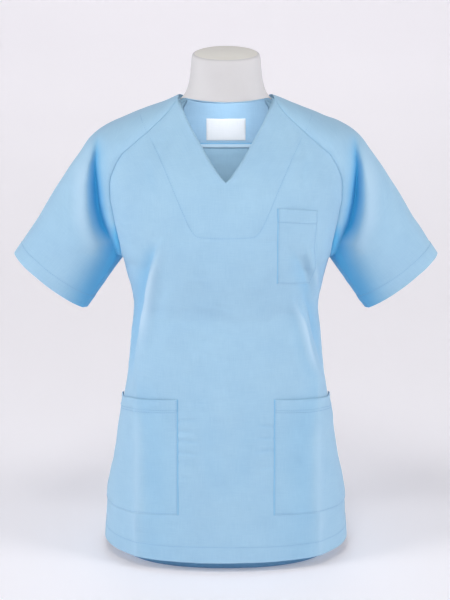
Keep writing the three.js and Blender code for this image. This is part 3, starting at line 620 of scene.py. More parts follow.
backFolds = [
    [(-60, 640, 0, 14), (-66, 560, 1.6, 16), (-74, 470, 2.2, 16, 18), (-80, 400, 0.8, 16), (-84, 350, 0, 14)],
    [(70, 630, 0, 14), (74, 550, 1.4, 16, 14), (80, 465, 2.4, 16), (86, 390, 0.8, 15), (90, 350, 0, 14)],
    [(-128, 500, 0, 8), (-112, 470, 3.0, 9), (-92, 430, 2.6, 10), (-66, 395, 0, 10)],
    [(130, 498, 0, 8), (116, 466, 2.8, 9), (98, 424, 2.8, 10), (74, 392, 0, 10)],
    [(-58, 402, 0, 9), (-20, 392, 2.2, 9, 10), (26, 394, 1.9, 9, 10), (64, 405, 0, 9)],
    [(-44, 428, 0, 8), (-8, 421, 1.5, 8, 9), (40, 426, 0, 8)],
    [(-40, 376, 0, 20), (-46, 300, -3.0, 22, 20), (-52, 190, -4.2, 24), (-56, 18, -4.6, 26)],
    [(8, 372, 0, 20), (6, 300, 2.4, 22, 20), (4, 180, 3.4, 24), (2, 18, 3.8, 26)],
    [(48, 376, 0, 20), (56, 300, -2.6, 22, 20), (62, 190, -3.8, 24), (68, 18, -4.4, 26)],
    [(-132, 330, 0, 12), (-128, 260, 1.6, 14, 16), (-124, 160, 2.4, 18), (-120, 18, 2.6, 20)],
    [(132, 330, 0, 12), (130, 260, 1.6, 16, 14), (128, 160, 2.2, 18), (126, 18, 2.4, 20)],
    [(-96, 668, 0, 7), (-88, 640, 1.0, 8), (-78, 604, 0, 8)],
    [(98, 664, 0, 7), (90, 636, 1.0, 8), (82, 606, 0, 8)],
]
creaseSharp = 0.8  # millimetres over which the pressed creases are rounded
yokeSide = [(44.4, 531.9), (53.4, 544.8), (64.5, 568), (78.6, 600.6), (96.7, 638.2), (110.6, 663.2), (113.6, 667.4)]
yokeLine = [(-x, z) for x, z in yokeSide[::-1]] + [(0, 530.6)] + yokeSide
yokeOnSleeve = [(116.4, 671.0), (120.5, 678.4), (125.4, 688.0), (128.7, 695.2)]


def roundedCorners(points, radius=4):
    # Cuts each corner of a line twice, so that a sewn line turns as a machine turns it
    line = np.array(points, float)
    for _ in range(2):
        a, b = line[:-1], line[1:]
        share = np.minimum(radius / np.maximum(np.linalg.norm(b - a, axis=1, keepdims=True), 1e-6), 0.25)
        inner = np.stack([a + (b - a) * share, b - (b - a) * share], axis=1).reshape(-1, line.shape[1])
        line = np.concatenate([line[:1], inner[1:-1], line[-1:]])
        radius = radius / 2
    return line


yokeGroove = [[(x, z, 0.5, 3.0) for x, z in roundedCorners(yokeLine)]]
lowerRows = np.concatenate([[17, 17.6, 18.6, 20.2], np.arange(22.6, 34, 2.8), [34.6, 36, 37, 38, 39.6],
                            np.arange(42.2, 466, 2.8), [468.6, 471]])
upperRows = armpit + (bodySizes["shoulder"] - armpit) * gradedSteps(92, [0.003, 0.008, 0.015], atStart=False)
bodyRows = np.concatenate([lowerRows, upperRows])
armpitRow = len(lowerRows)
frontSteps = gradedSteps(70, [0.004, 0.010, 0.020])
backSteps = gradedSteps(66, [0.004, 0.010, 0.020], atStart=False)


def ventOpening(z, distance, outwards):
    # Below its top the vent parts a little more towards the hem, and the cloth beside it follows
    share = np.clip((bodySizes["ventTop"] - z) / (bodySizes["ventTop"] - bodySizes["hem"]), 0, 1)
    return outwards * bodySizes["ventGape"] * share * bell(distance, bodySizes["ventReach"])


def hemRelief(z, x, hemZ, stitchZ, seed):
    # The turned-up hem is doubled, so it stands out a little; its stitching draws the cloth into puckers
    sizes, toStitch = hemSizes, z - stitchZ
    pucker = 0.4 * rippleField(x, z * 0.2, seed, waves=8, lengths=(9, 19))
    doubled = sizes["doubled"] * (1 - smoothStep(toStitch, -0.5, 2.5)) * smoothStep(z, hemZ - 2, hemZ + 1)
    return (doubled - sizes["dip"] * (0.6 + pucker) * bell(toStitch, sizes["dipWidth"])
            + sizes["pucker"] * pucker * bell(toStitch, sizes["puckerWidth"]))


def seamDip(distance, z, seed):
    # A seam is a sharp groove, with shallow puckers beside it
    sizes = seamSizes
    pucker = sizes["pucker"] * (1 + rippleField(z, z * 0.1, seed, 6, (11, 26)))
    return sizes["groove"] * bell(distance, sizes["grooveWidth"]) + pucker * bell(distance, sizes["puckerWidth"])


def bodyGrid(half, side):
    front = half == "front"
    sideZ = bodyRows if front else np.where(bodyRows > armpit, along(armhole, "backZ", bodyRows), bodyRows)
    t, z = np.meshgrid(frontSteps if front else backSteps, sideZ)
    return {"points": (frontSheet if front else backSheet)(side, t, z), "sideZ": z}


def dressBody(half, side, seamDirection):
    # Folds, ripples, hem, vent and seam are moves of the plain grid along its normals; x and z are views of the
    # points, so what is drawn last follows the cloth that has moved
    front = half == "front"
    grid = bodyGrid(half, side)
    points, sideZ = grid["points"], grid["sideZ"]
    x, z = points[..., 0], points[..., 2]
    flip = (side < 0) == front
    normals = gridNormals(points, flip)
    length = lengthsAlong(points, 1)
    distance = length[:, -1:] - length
    if front:
        drawn = foldField(frontFolds, x, z) + foldField(yokeGroove, x, z) + foldField(pressedCreases, x, z, creaseSharp)
    else:
        drawn = foldField(backFolds, x, z)
    fade = smoothStep(distance, 0, bodySizes["flatEdge"])
    ripple = bodySizes["ripple"] * rippleField(x, z, 11 if front else 12)
    ripple += bodySizes["fineRipple"] * rippleField(x, z, 15, 18, (14, 30))
    lift = hemRelief(sideZ, x, bodySizes["hem"], bodySizes["hemStitch"], 21 if front else 22)
    points += normals * (fade * (ripple - drawn) + lift)[..., None]
    points[..., 1] += ventOpening(sideZ, distance, -1 if front else 1)
    # the seam: both edges are drawn in along one common direction, so that they stay together
    sewn = smoothStep(sideZ, bodySizes["ventTop"] - 4, bodySizes["ventTop"] + 3)
    points -= seamDirection[:, None, :] * (sewn * seamDip(distance, z, 31))[..., None]
    # painted shade in the valleys and painted highlight on the ridges, put into the fold attribute
    share = fade * drawn / bodyPaintedShading["full"]
    shade = bodyPaintedShading["valley"] * np.clip(share, 0, 1) - bodyPaintedShading["ridge"] * np.clip(-share, 0, 1) ** 3
    if front:
        # the V edge is turned in over its facing, so that it is thick and rounded
        length, sizes = lengthsAlong(points, 1), veeSizes
        roll = sizes["roll"] * bell(length - sizes["rollPlace"], sizes["rollWidth"])
        edge = smoothStep(sideZ, sizes["foot"] - 2, sizes["foot"] + 4)
        points += normals * (edge * (roll - sizes["turn"] * bell(length, sizes["turnWidth"])))[..., None]
        # painted shade inside the pressed creases and in the valleys beside the armpit ridges
        shade += foldField(paintedCreaseShade, x, z)
    return {"points": points, "sideZ": sideZ, "flip": flip, "distance": distance, "fold": shade,
            "uv": np.stack([side * lengthsAlong(points, 1), lengthsAlong(points, 0)], axis=-1)}


# ---- the sleeves: sections from the cuff to the armpit, then arcs between the two raglan seams

sleeveSizes = {
    "cuffTop": (324.4, 0, 475.5), "cuffUnder": (214.8, 0, 390.5), "armpitTop": (275.6, 0, 550.3),
    "armpitSeam": (157.2, 0, 473.0), "cuffDepth": 46, "armpitDepth": 62, "length": 97, "underarmStep": 28,
    "hemDepth": 22, "columns": 20, "settled": 486, "evenings": 60, "evenReach": 34, "flatEdge": 20, "ripple": 0.4,
    "valleySharp": 3.0,
}
# painted shade for the sleeve's deep valley and painted highlight for its ridges: how much each gets, and the depth in
# millimetres at which it gets all of it
sleevePaintedShading = {"valley": 0.88, "fullValley": 22, "ridge": 0.55, "fullRidge": 5.5}
# the deep fold that falls from the shoulder: the cloth beside the body lies back, and the outer cloth stands
# forward of it with a steep flank
sleeveValleys = [
    [(190, 678, 0, 6, 7), (193.5, 658, 13, 8), (197, 613, 22, 9, 10), (196, 578, 26, 11),
     (189, 536, 26, 12, 11), (178, 512, 20, 11, 9), (168, 493, 12, 10, 8), (161, 478, 4, 9, 7)],
    [(168, 500, 0, 7), (178, 480, 5, 8, 9), (192, 450, 6, 10, 11), (208, 420, 4, 10, 11), (220, 396, 0, 10)],
]
# painted shade along the sleeve's underside, from the armpit down to the hem, where the cloth faces forward
paintedSleeveShade = [
    [(172, 546, 0, 10), (166, 514, 0.8, 16, 12), (168, 480, 0.9, 27, 15), (186, 448, 0.8, 30, 17),
     (203, 418, 0.76, 32, 17), (214, 396, 0.7, 32, 17)],
]
frontSleeveFolds = [
    [(200, 664, 0, 9, 6), (207, 636, -3.6, 13, 7), (213, 600, -5.5, 15, 8), (212, 556, -5.5, 15, 9),
     (203, 514, -3, 13, 9), (196, 482, 0, 12, 9)],
    [(188, 640, 0, 4), (187, 612, -1.2, 5), (184, 580, -2.0, 5), (180, 545, -1.8, 5), (174, 520, 0, 5)],
    [(246, 560, 0, 9), (248, 520, 1.4, 10), (252, 478, 1.2, 10), (258, 440, 0, 9)],
    [(282, 520, 0, 9), (284, 490, 1.0, 9), (288, 460, 0, 9)],
    [(172, 560, 0, 3), (180, 556, 1.2, 4, 3), (190, 550, 0, 3)],
    [(166, 532, 0, 3), (175, 526, 1.5, 4, 3), (186, 518, 0, 3)],
]
backSleeveFolds = [
    [(190, 660, 0, 10, 8), (196, 618, 5.5, 12, 10), (201, 576, 11, 14, 11), (198, 536, 11, 14, 12),
     (188, 506, 6, 12), (178, 482, 1, 11)],
    [(226, 620, 0, 10), (230, 570, -2.2, 12, 11), (224, 520, -2.4, 12), (216, 476, 0, 12)],
    [(182, 500, 0, 7), (196, 466, 2.6, 9), (214, 424, 1.8, 10), (226, 402, 0, 10)],
    [(252, 556, 0, 9), (255, 515, 1.2, 10), (262, 470, 0, 10)],
]
cuffShares = np.concatenate([[0, 0.006, 0.016, 0.032], np.linspace(0.06, 0.205, 6), [0.217, 0.23, 0.243, 0.26],
                             np.linspace(0.29, 0.985, 25)])
sleeveSteps = gradedSteps(104, [0.003, 0.007, 0.013])


def roundedSection(top, front, back, halfDepth, turn, closed, u):
    # Point = top - up (1 - sin a) + forward |cos a|, with a from turn to pi - turn
    angle = turn + (np.pi - 2 * turn) * u
    forward = angle <= np.pi / 2
    seam = np.where(forward[..., None], front, back)
    depth = np.where(closed, halfDepth, np.abs(seam[..., 1] - top[..., 1]) / np.maximum(np.cos(turn), 1e-6))
    cross = np.zeros_like(seam)
    cross[..., 1] = np.where(forward, -depth, depth)
    up = (top - seam + cross * np.where(closed, 0, np.cos(turn))[..., None]) / (1 - np.sin(turn))[..., None]
    return top + up * (np.sin(angle) - 1)[..., None] + cross * np.abs(np.cos(angle))[..., None]


def sleeveRows():
    # The stations of every row: first the closed rings below the armpit, then the armhole's own heights
    sizes, q, z = sleeveSizes, cuffShares, upperRows
    backZ = along(armhole, "backZ", z)
    ring = {name: np.outer(1 - q, sizes["cuff" + end]) + np.outer(q, sizes["armpit" + ownEnd])
            for name, end, ownEnd in (("top", "Top", "Top"), ("seam", "Under", "Seam"))}
    front = np.stack([along(armhole, "frontX", z), -along(armhole, "frontY", z), z], axis=1)
    back = np.stack([along(armhole, "backX", backZ, "backZ"), along(armhole, "backY", backZ, "backZ"), backZ], axis=1)
    top = np.stack([along(armhole, "top" + axis, z) for axis in "XYZ"], axis=1)
    depth = sizes["cuffDepth"] + (sizes["armpitDepth"] - sizes["cuffDepth"]) * np.sin(np.pi / 2 * q)
    return {
        "top": np.concatenate([ring["top"], top]),
        "front": np.concatenate([ring["seam"], front]),
        "back": np.concatenate([ring["seam"], back]),
        "halfDepth": np.concatenate([depth, np.full(len(z), sizes["armpitDepth"])]),
        "turn": np.radians(np.concatenate([np.full(len(q), -90), along(armhole, "turn", z)])),
        "ring": np.concatenate([q, np.ones(len(z))]),
        "height": np.concatenate([np.full(len(q), armpit), z]),
    }


def sleeveGrid():
    rows = sleeveRows()
    top, front, back, halfDepth, turn, _, height = (values[:, None] for values in rows.values())
    u, closed = sleeveSteps[None, :], height <= armpit + 0.001
    arc = roundedSection(top, front, back, halfDepth, turn, closed, u)
    # next to the armpit the first and last steps are straight and wide, so that the sleeve leaves the body at once
    step = 1 / sleeveSizes["columns"]
    first = np.radians(sleeveSizes["underarmStep"]) / (np.pi - 2 * turn)
    inner = first + (1 - 2 * first) * (u - step) / (1 - 2 * step)
    packed = roundedSection(top, front, back, halfDepth, turn, closed, np.clip(inner, first, 1 - first))
    packed = front + (packed - front) * np.clip(u / step, 0, 1)[..., None]
    packed = back + (packed - back) * np.clip((1 - u) / step, 0, 1)[..., None]
    keep = np.where(closed, 1.0, 1 - smoothStep(height, armpit, sleeveSizes["settled"]))[..., None]
    points = arc * (1 - keep) + packed * keep
    # the rings beside the armpit are evened out along the sleeve, so that no edge shows where the arcs begin
    fromArmpit = np.concatenate([(1 - cuffShares) * sleeveSizes["length"], upperRows - armpit])
    near = bell(fromArmpit, sleeveSizes["evenReach"])[:, None] * smoothStep(np.minimum(u, 1 - u), 0, 0.09)
    for _ in range(sleeveSizes["evenings"]):
        even = points.copy()
        even[1:-1] = 0.25 * points[:-2] + 0.5 * points[1:-1] + 0.25 * points[2:]
        points = points + (even - points) * near[..., None]
    points[:, 0], points[:, -1] = rows["front"], rows["back"]
    return {"points": points, "ring": rows["ring"][:, None] * sleeveSizes["length"] + 0 * u}


def dressSleeve(side, grid, frontSeam, backSeam):
    # Made as the wearer's left one, and mirrored at the end for the right; x and z are views of the points
    points, ring = grid["points"].copy(), grid["ring"]
    normals = gridNormals(points, False)
    x, z = points[..., 0], points[..., 2]
    length = lengthsAlong(points, 1)
    fromBack = length[:, -1:] - length
    fade = smoothStep(length, 0, sleeveSizes["flatEdge"]) * smoothStep(fromBack, 0, sleeveSizes["flatEdge"])
    facing = normals[..., 1]
    frontShare, backShare = np.clip(-facing * 1.3, 0, 1), np.clip(facing * 1.3, 0, 1)
    seed = 41 if side > 0 else 42
    valley = foldField(sleeveValleys, x, z, sleeveSizes["valleySharp"])
    soft = foldField(frontSleeveFolds, x, z)
    drawn = frontShare * (soft + valley) + backShare * foldField(backSleeveFolds, x, z)
    points[..., 1] += np.where(facing < 0, 1, -1) * fade * drawn
    ripple = sleeveSizes["ripple"] * rippleField(x + 60 * facing, z, seed, 12, (26, 80))
    points += normals * (fade * ripple + hemRelief(ring, length, 0, sleeveSizes["hemDepth"], seed + 10))[..., None]
    dips = [direction[:, None, :] * seamDip(distance, z, seed + 20)[..., None]
            for distance, direction in ((length, frontSeam), (fromBack, backSeam))]
    points -= dips[0]
    points -= dips[1]
    uv = np.stack([length, lengthsAlong(points, 0)], axis=-1)
    # painted shade in the deep valley and along the underside, and painted highlight on the soft ridges, put into the
    # fold attribute
    tones = sleevePaintedShading
    deep = np.clip(frontShare * valley / tones["fullValley"], 0, 1) ** 1.5
    shade = tones["valley"] * np.maximum(deep, smoothStep(-facing, -0.3, 0.3) * foldField(paintedSleeveShade, x, z))
    ridge = np.clip(-soft / tones["fullRidge"], 0, 1) * (1 - np.clip(3 * shade, 0, 1))
    shade -= tones["ridge"] * frontShare * ridge
    return {"points": points * np.array([side, 1, 1]), "flip": side < 0, "uv": uv, "ring": ring, "fold": shade}


def seamDirections():
    # One direction for both edges of a seam: the mean of the two pieces' normals there
    front = gridNormals(bodyGrid("front", 1)["points"], False)[:, -1]
    back = gridNormals(bodyGrid("back", 1)["points"], True)[:, -1]
    sleeve = gridNormals(plainSleeve["points"], False)
    count = len(cuffShares)
    sideways = unit(front[:armpitRow] + back[:armpitRow])
    frontUpper = unit(front[armpitRow:] + sleeve[count:, 0])
    backUpper = unit(back[armpitRow:] + sleeve[count:, -1])
    underarm = unit(sleeve[:count, 0] + sleeve[:count, -1])
    pairs = {"front": (sideways, frontUpper), "back": (sideways, backUpper),
             "sleeveFront": (underarm, frontUpper), "sleeveBack": (underarm, backUpper)}
    return {name: np.concatenate(pair) for name, pair in pairs.items()}


plainSleeve = sleeveGrid()
seams = seamDirections()
mirrors = {1: np.array([1, 1, 1]), -1: np.array([-1, 1, 1])}
frontHalves, backHalves = ({side: dressBody(half, side, seams[half] * mirrors[side]) for side in mirrors}
                           for half in ("front", "back"))
sleeves = {side: dressSleeve(side, plainSleeve, seams["sleeveFront"], seams["sleeveBack"]) for side in mirrors}
for halves in (frontHalves, backHalves):
    # the two halves keep one common centre line
    middle = 0.5 * (halves[1]["points"][:, 0] + halves[-1]["points"][:, 0] * mirrors[-1])
    low = (bodyRows <= veeSizes["foot"]) | (halves is backHalves)
    for side in mirrors:
        points = halves[side]["points"]
        move = np.where(low[:, None], middle * mirrors[side] - points[:, 0], 0)
        points += move[:, None, :] * bell(lengthsAlong(points, 1), 12)[..., None]
        points[low, 0, 0] = 0
print("panels shaped")

makeSheet("scrub_front", frontHalves.values(), panelWalls, "front_panel")
makeSheet("scrub_back", backHalves.values(), panelWalls, "back_panel")
makeSheet("scrub_sleeve_left", [sleeves[1]], panelWalls, "sleeve_left")
makeSheet("scrub_sleeve_right", [sleeves[-1]], panelWalls, "sleeve_right")
print("panels made")


# ---- pockets: patches on the front's own surface

pocketSizes = {"bottom": 80, "top": 258, "band": 238, "innerX": 73, "lift": 1.5, "sink": 8}
chestSizes = {"bottom": 441, "top": 558, "band": 538, "innerX": 76, "lift": 1.4, "sink": 0}
pocketFolds = {
    1: [[(92, 250, 0, 9), (108, 224, 0.9, 10, 9), (128, 196, 0, 9)],
        [(82, 190, 0, 12), (100, 160, 1.0, 14, 12), (124, 128, 0, 12)],
        [(80, 120, 0, 8), (104, 128, 0.6, 8), (130, 140, 0, 8)]],
    -1: [[(-93, 248, 0, 9), (-113, 224, 1.3, 9, 10), (-132, 200, 0, 9)],
         [(-80, 200, 0, 12), (-104, 160, 1.2, 12, 14), (-128, 124, 0, 12)],
         [(-82, 110, 0, 8), (-104, 120, 0.6, 8), (-128, 134, 0, 8)]],
}
chestFolds = [
    [(104, 524, 0, 6), (110.7, 492, 0.7, 7, 6), (120, 464, 0.8, 7, 6), (124, 444, 0.4, 7, 6)],
    [(120, 520, 0, 5), (125, 492, -0.8, 5), (131, 466, -1.0, 5, 6), (132, 446, -0.6, 5)],
]
pocketWalls, chestWalls = (0.5, -0.5), (0.45, -0.45)
# the last three sizes are the painted shade at the inner edge, the painted highlight on the crease ridges, and the
# depth at which a ridge gets all of it
patchSizes = {
    "turned": 0.9, "turnedWidth": 1.3, "dip": 0.35, "dipPlace": 3.2, "dipWidth": 1.6, "full": 0.5, "fullReach": 9,
    "mouth": 0.9, "mouthReach": 30, "band": 0.45, "bandDip": 0.4, "bandWidth": 1.8, "lip": 0.6, "ripple": 0.25,
    "corner": 2.4, "caught": 0.9, "innerEdgePaintedShade": 0.55, "creaseRidgePaintedHighlight": 0.35, "fullRidge": 6,
}


def sampleGrid(values, rowPlace, columnPlace):
    # Values between a grid's points, by the shares of the way between its rows and columns
    r = np.clip(rowPlace, 0, values.shape[0] - 1.001)
    c = np.clip(columnPlace, 0, values.shape[1] - 1.001)
    i, j = r.astype(int), c.astype(int)
    s, t = (r - i)[..., None], (c - j)[..., None]
    return ((1 - s) * ((1 - t) * values[i, j] + t * values[i, j + 1])
            + s * ((1 - t) * values[i + 1, j] + t * values[i + 1, j + 1]))


def onHalf(side, t, sideZ):
    # A point of the finished front and its normal, at a share of the way across and a row's height
    grid = frontHalves[side]
    rowPlace = np.interp(sideZ, bodyRows, np.arange(len(bodyRows)))
    columnPlace = np.interp(t, frontSteps, np.arange(len(frontSteps)))
    normals = gridNormals(grid["points"], grid["flip"])
    return (sampleGrid(grid["points"], rowPlace, columnPlace), unit(sampleGrid(normals, rowPlace, columnPlace)))


def shareOfX(x, sideZ, bow):
    # The share of the way across the front at which a row passes a place seen from the front
    centreZ = sideZ + along(rowRise, "rise", sideZ)
    _, width, _ = ringAt("front", centreZ - bow * along(rowRise, "rise", sideZ))
    _, _, end = ringAt("front", sideZ)
    return angleOfWidth(x / width) / end


def patchPocket(side, sizes, folds, outerEdge, columns, rows, seed):
    # A patch between its inner and outer edges. One with an outer edge of its own is sewn down all round below its
    # mouth; the others are caught in the side seam.
    sideZ = sizes["bottom"] + (sizes["top"] - sizes["bottom"]) * gradedSteps(rows, [0.004, 0.010, 0.020])
    sideZ = np.unique(np.concatenate([sideZ, sizes["band"] + np.array([-3, -1.4, 0, 1.4, 3])]))
    k, z = np.meshgrid(gradedSteps(columns, [0.006, 0.016, 0.034]), sideZ)
    inner = shareOfX(np.full_like(z, sizes["innerX"]), z, 0.25)
    outer = shareOfX(along(pocketOuterEdge, "x", z), z, 0.7) if outerEdge else 1
    # the stiff mouth runs straight to the side seam, so its outer corner sits lower than its row on the front
    sink = sizes["sink"] * smoothStep(k, 0.5, 1) * smoothStep(z, sizes["band"] - 50, sizes["top"])
    points, normals = onHalf(side, inner + (outer - inner) * k, z - sink)
    toInner = lengthsAlong(points, 1)
    toOuter, toTop = toInner[:, -1:] - toInner, sizes["top"] - z
    edge = np.minimum(toInner, z - sizes["bottom"])
    if outerEdge:
        edge = np.minimum(edge, toOuter)
    own, toBand = patchSizes, z - sizes["band"]
    settled = 1 - np.exp(-edge / own["fullReach"])
    mouth = bell(toTop, own["mouthReach"]) * np.sin(np.pi * np.clip(k, 0, 1)) ** 0.7
    pucker = 1 + 0.3 * rippleField(toInner, z * 0.2, seed, 8, (9, 19))
    lift = sizes["lift"] + own["full"] * settled + own["mouth"] * mouth - own["lip"] * bell(toTop, 1.0)
    lift -= own["turned"] * bell(edge, own["turnedWidth"]) + own["dip"] * bell(edge - own["dipPlace"], own["dipWidth"])
    lift += own["band"] * smoothStep(toBand, -0.6, 1.6) - own["bandDip"] * bell(toBand, own["bandWidth"]) * pucker
    x, height = points[..., 0], points[..., 2]
    lift += settled * (own["ripple"] * rippleField(x, height, seed + 1, 12, (20, 60)) - foldField(folds, x, height))
    if not outerEdge:
        # the top corner at the side seam stands open a little
        lift += own["corner"] * bell(toTop, 6) * bell(toOuter, 8)
        lift -= own["caught"] * bell(toOuter, 1.6) * (1 - bell(toTop, 8))
    points = points + normals * lift[..., None]
    x, height = points[..., 0], points[..., 2]
    # painted shade along the pressed creases and as a dark line at the inner edge, and painted highlight on the
    # creases' ridges
    ridge = np.clip(-foldField(pressedCreases, x, height, creaseSharp) / own["fullRidge"], 0, 1)
    shade = (foldField(paintedCreaseShade, x, height) + own["innerEdgePaintedShade"] * bell(toInner, 0.9)
             - own["creaseRidgePaintedHighlight"] * ridge ** 4)
    return {"points": points, "flip": side < 0, "uv": np.stack([side * toInner, z], axis=-1), "sideZ": z,
            "toInner": toInner, "toOuter": toOuter, "fold": shade}


pocketGrids = {side: patchPocket(side, pocketSizes, pocketFolds[side], False, 52, 66, 51 + side) for side in mirrors}
chestGrid = patchPocket(1, chestSizes, chestFolds, True, 34, 48, 61)
makeSheet("scrub_pocket_left", [pocketGrids[1]], pocketWalls, "pocket_left")
makeSheet("scrub_pocket_right", [pocketGrids[-1]], pocketWalls, "pocket_right")
makeSheet("scrub_chest_pocket", [chestGrid], chestWalls, "chest_pocket")
print("pockets made")


# ---- inside of the back neck: facing and label

facingSizes = {"halfWidth": 66, "bottom": 621, "top": 699.4, "lift": 1.6, "strip": 8}
labelSizes = {"halfWidth": 30.5, "bottom": 634.5, "top": 671.7, "lift": 3.0}


def insideBack(x, centreZ):
    # A point on the back at a place seen from the front, on the rows that rise to the sides
    sideZ = armpit + (centreZ - armpit) / backReach
    z = centreZ
    for _ in range(4):
        spread = np.abs(x) / ringAt("back", z)[1] / acrossShare(ringAt("back", sideZ)[2])
        z = centreZ + (sideZ - centreZ) * spread ** 2
    depth, width, _ = ringAt("back", z)
    return np.stack([x, depth * alongShare(angleOfWidth(np.abs(x) / width)), z], axis=-1)


def insidePatch(sizes, columns, rows, relief):
    # A patch seen from the front, lifted off the back towards the front by its lift and its own relief
    heights = sizes["bottom"] + (sizes["top"] - sizes["bottom"]) * gradedSteps(rows, [0.01, 0.025, 0.05])
    if "strip" in sizes:
        heights = np.unique(np.concatenate([heights, sizes["bottom"] + np.arange(0, sizes["strip"] + 2, 0.8)]))
    u, z = np.meshgrid(2 * gradedSteps(columns, [0.005, 0.012, 0.025]) - 1, heights)
    x = u * sizes["halfWidth"] * (1 - 0.09 * smoothStep(z, 684, facingSizes["top"]))
    points = insideBack(x, z)
    points = points - gridNormals(points, True) * (sizes["lift"] + relief(x, z))[..., None]
    return {"points": points, "flip": True, "uv": np.stack([x, z], axis=-1), "height": z - sizes["bottom"]}


def facingRelief(x, z):
    # the folded lower edge is doubled, and the facing ripples softly between its sewn edges
    height = z - facingSizes["bottom"]
    doubled = 0.5 * (1 - smoothStep(height, 6.5, 9)) - 0.4 * bell(height - facingSizes["strip"], 1.5)
    return doubled - 0.7 * bell(height, 1.2) + 0.35 * rippleField(x, z, 71, 10, (22, 60))


def labelRelief(x, z):
    toEdge = np.minimum(z - labelSizes["bottom"], labelSizes["top"] - z)
    toEdge = np.minimum(toEdge, labelSizes["halfWidth"] - np.abs(x))
    return 0.5 * (1 - np.exp(-toEdge / 5)) - 0.5 * bell(toEdge, 0.8) + 0.15 * rippleField(x, z, 72, 8, (18, 40))


facingGrid = insidePatch(facingSizes, 60, 42, facingRelief)
# painted highlight on the folded strip, between its stitching and its edge, and painted shade lines along the stitching
# and the edge
height = facingGrid["height"]
facingGrid["fold"] = (0.6 * bell(height - 7.6, 0.9) + 0.5 * bell(height, 0.8)
                      - 0.7 * (1 - smoothStep(height, 6.2, 7.2)) * smoothStep(height, 0.8, 1.6))
labelGrid = insidePatch(labelSizes, 40, 26, labelRelief)
makeSheet("scrub_back_facing", [facingGrid], (0.5, -0.5), "back_facing", poplinInside)
makeSheet("scrub_label", [labelGrid], (0.4, -0.4), "neck_label", labelTape)
print("facing and label made")


# ---- stitching: each stitch is a small bead of thread that dips into the cloth at both ends

stitchSizes = {"pitch": 3.1, "length": 2.5, "radius": 0.34, "rise": 0.1, "dip": 0.35, "sides": 5}


def stitchBeads(line, normals, offset, sizes):
    # Each bead is two rings, at 0.55 of its half length, between two points
    way = lengthsAlong(line, 0)
    count = int(way[-1] / sizes["pitch"])
    middle = (np.arange(count) + 0.5) * way[-1] / count
    half, n = sizes["length"] / 2, sizes["sides"]

    def at(values, s):
        return np.stack([np.interp(s, way, values[:, i]) for i in range(3)], axis=1)

    direction = unit(at(line, middle + half) - at(line, middle - half))
    normal = unit(at(normals, middle))
    cross = unit(np.cross(direction, normal))
    centre = at(line, middle) + normal * (offset + sizes["rise"])
    turns = 2 * np.pi * np.arange(n)[:, None] / n
    ring = (np.cos(turns) * cross[:, None, :] + np.sin(turns) * normal[:, None, :]) * sizes["radius"]
    tips = [(centre + direction * half * end - normal * sizes["dip"])[:, None] for end in (-1, 1)]
    rings = [(centre + direction * half * share)[:, None] + ring for share in (-0.55, 0.55)]
    points = np.concatenate([tips[0], *rings, tips[1]], axis=1)
    i = np.arange(n) + 1
    j = np.roll(i, -1)
    faces = np.concatenate([
        np.stack([0 * i, j, i, i], axis=1),
        np.stack([i, j, n + j, n + i], axis=1),
        np.stack([n + i, n + j, 0 * i + 1 + 2 * n, 0 * i + 1 + 2 * n], axis=1)])
    starts = np.arange(count) * points.shape[1]
    return points.reshape(-1, 3), (faces[None] + starts[:, None, None]).reshape(-1, 4)


def sewLines(name, lines, material=blueThread, sizes=stitchSizes):
    points, faces, total = [], [], 0
    for line, normals, offset in lines:
        newPoints, newFaces = stitchBeads(line, normals, offset, sizes)
        points.append(newPoints)
        faces.append(newFaces + total)
        total += len(newPoints)
    makePiece(name, {"points": np.concatenate(points), "faces": np.concatenate(faces)}, material)


def levelLine(grid, field, value, offset, low=0, high=None, inRows=False):
    # The line where a grid's own measure, such as its height or its distance from an edge, has one value: it is
    # looked for up each column, or along each row
    measure = grid[field] if inRows else grid[field].T
    order = np.arange(measure.shape[1])
    if measure[0, 0] > measure[0, -1]:
        measure, order = measure[:, ::-1], order[::-1]
    lines = np.arange(len(measure))[low:high]
    found = np.array([np.interp(value, measure[i], order) for i in lines])
    place = (lines, found) if inRows else (found, lines)
    return (*(sampleGrid(values, *place) for values in (grid["points"], gridNormals(grid["points"], grid["flip"]))),
            offset)


def evenPlaces(line, count, spacing=None):
    # Places at even steps along a line of x and z
    line = np.array(line, float)
    way = lengthsAlong(line, 0)
    s = np.linspace(0, way[-1], count or int(way[-1] / spacing) + 2)
    return np.interp(s, way, line[:, 0]), np.interp(s, way, line[:, 1])


def seenLine(halves, line, facing=-1, offset=panelWalls[0]):
    # A line drawn as seen from the front, laid on the finished panel through its nearest points on the front
    # (facing -1) or the back (facing 1)
    x, z = evenPlaces(line, None, 3.0)
    points, normals = np.zeros((len(x), 3)), np.zeros((len(x), 3))
    for side in mirrors:
        mine = x >= 0 if side > 0 else x < 0
        if not mine.any():
            continue
        own = halves[side]["points"]
        turned = gridNormals(own, halves[side]["flip"]).reshape(-1, 3)
        own = own.reshape(-1, 3)
        gap = (x[mine][:, None] - own[:, 0]) ** 2 + (z[mine][:, None] - own[:, 2]) ** 2
        gap = gap + 1e6 * (turned[:, 1] * facing < 0)
        nearest = np.argsort(gap, axis=1)[:, :4]
        weight = 1 / (np.take_along_axis(gap, nearest, 1) + 0.05)
        weight = (weight / weight.sum(1, keepdims=True))[..., None]
        points[mine] = (own[nearest] * weight).sum(1)
        normals[mine] = (turned[nearest] * weight).sum(1)
        points[mine, 0], points[mine, 2] = x[mine], z[mine]
    return points, unit(normals), offset


def hemAndVents(halves):
    # The bottom hem's line, and the lines beside the vents up to a little above their tops
    vent = {"inset": 8, "low": 12, "high": int(np.searchsorted(bodyRows, bodySizes["ventTop"] + 5))}
    lines = []
    for grid in halves.values():
        lines.append(levelLine(grid, "sideZ", bodySizes["hemStitch"], panelWalls[0], 0, -2))
        lines.append(levelLine(grid, "distance", vent["inset"], panelWalls[0], vent["low"], vent["high"], True))
    return lines


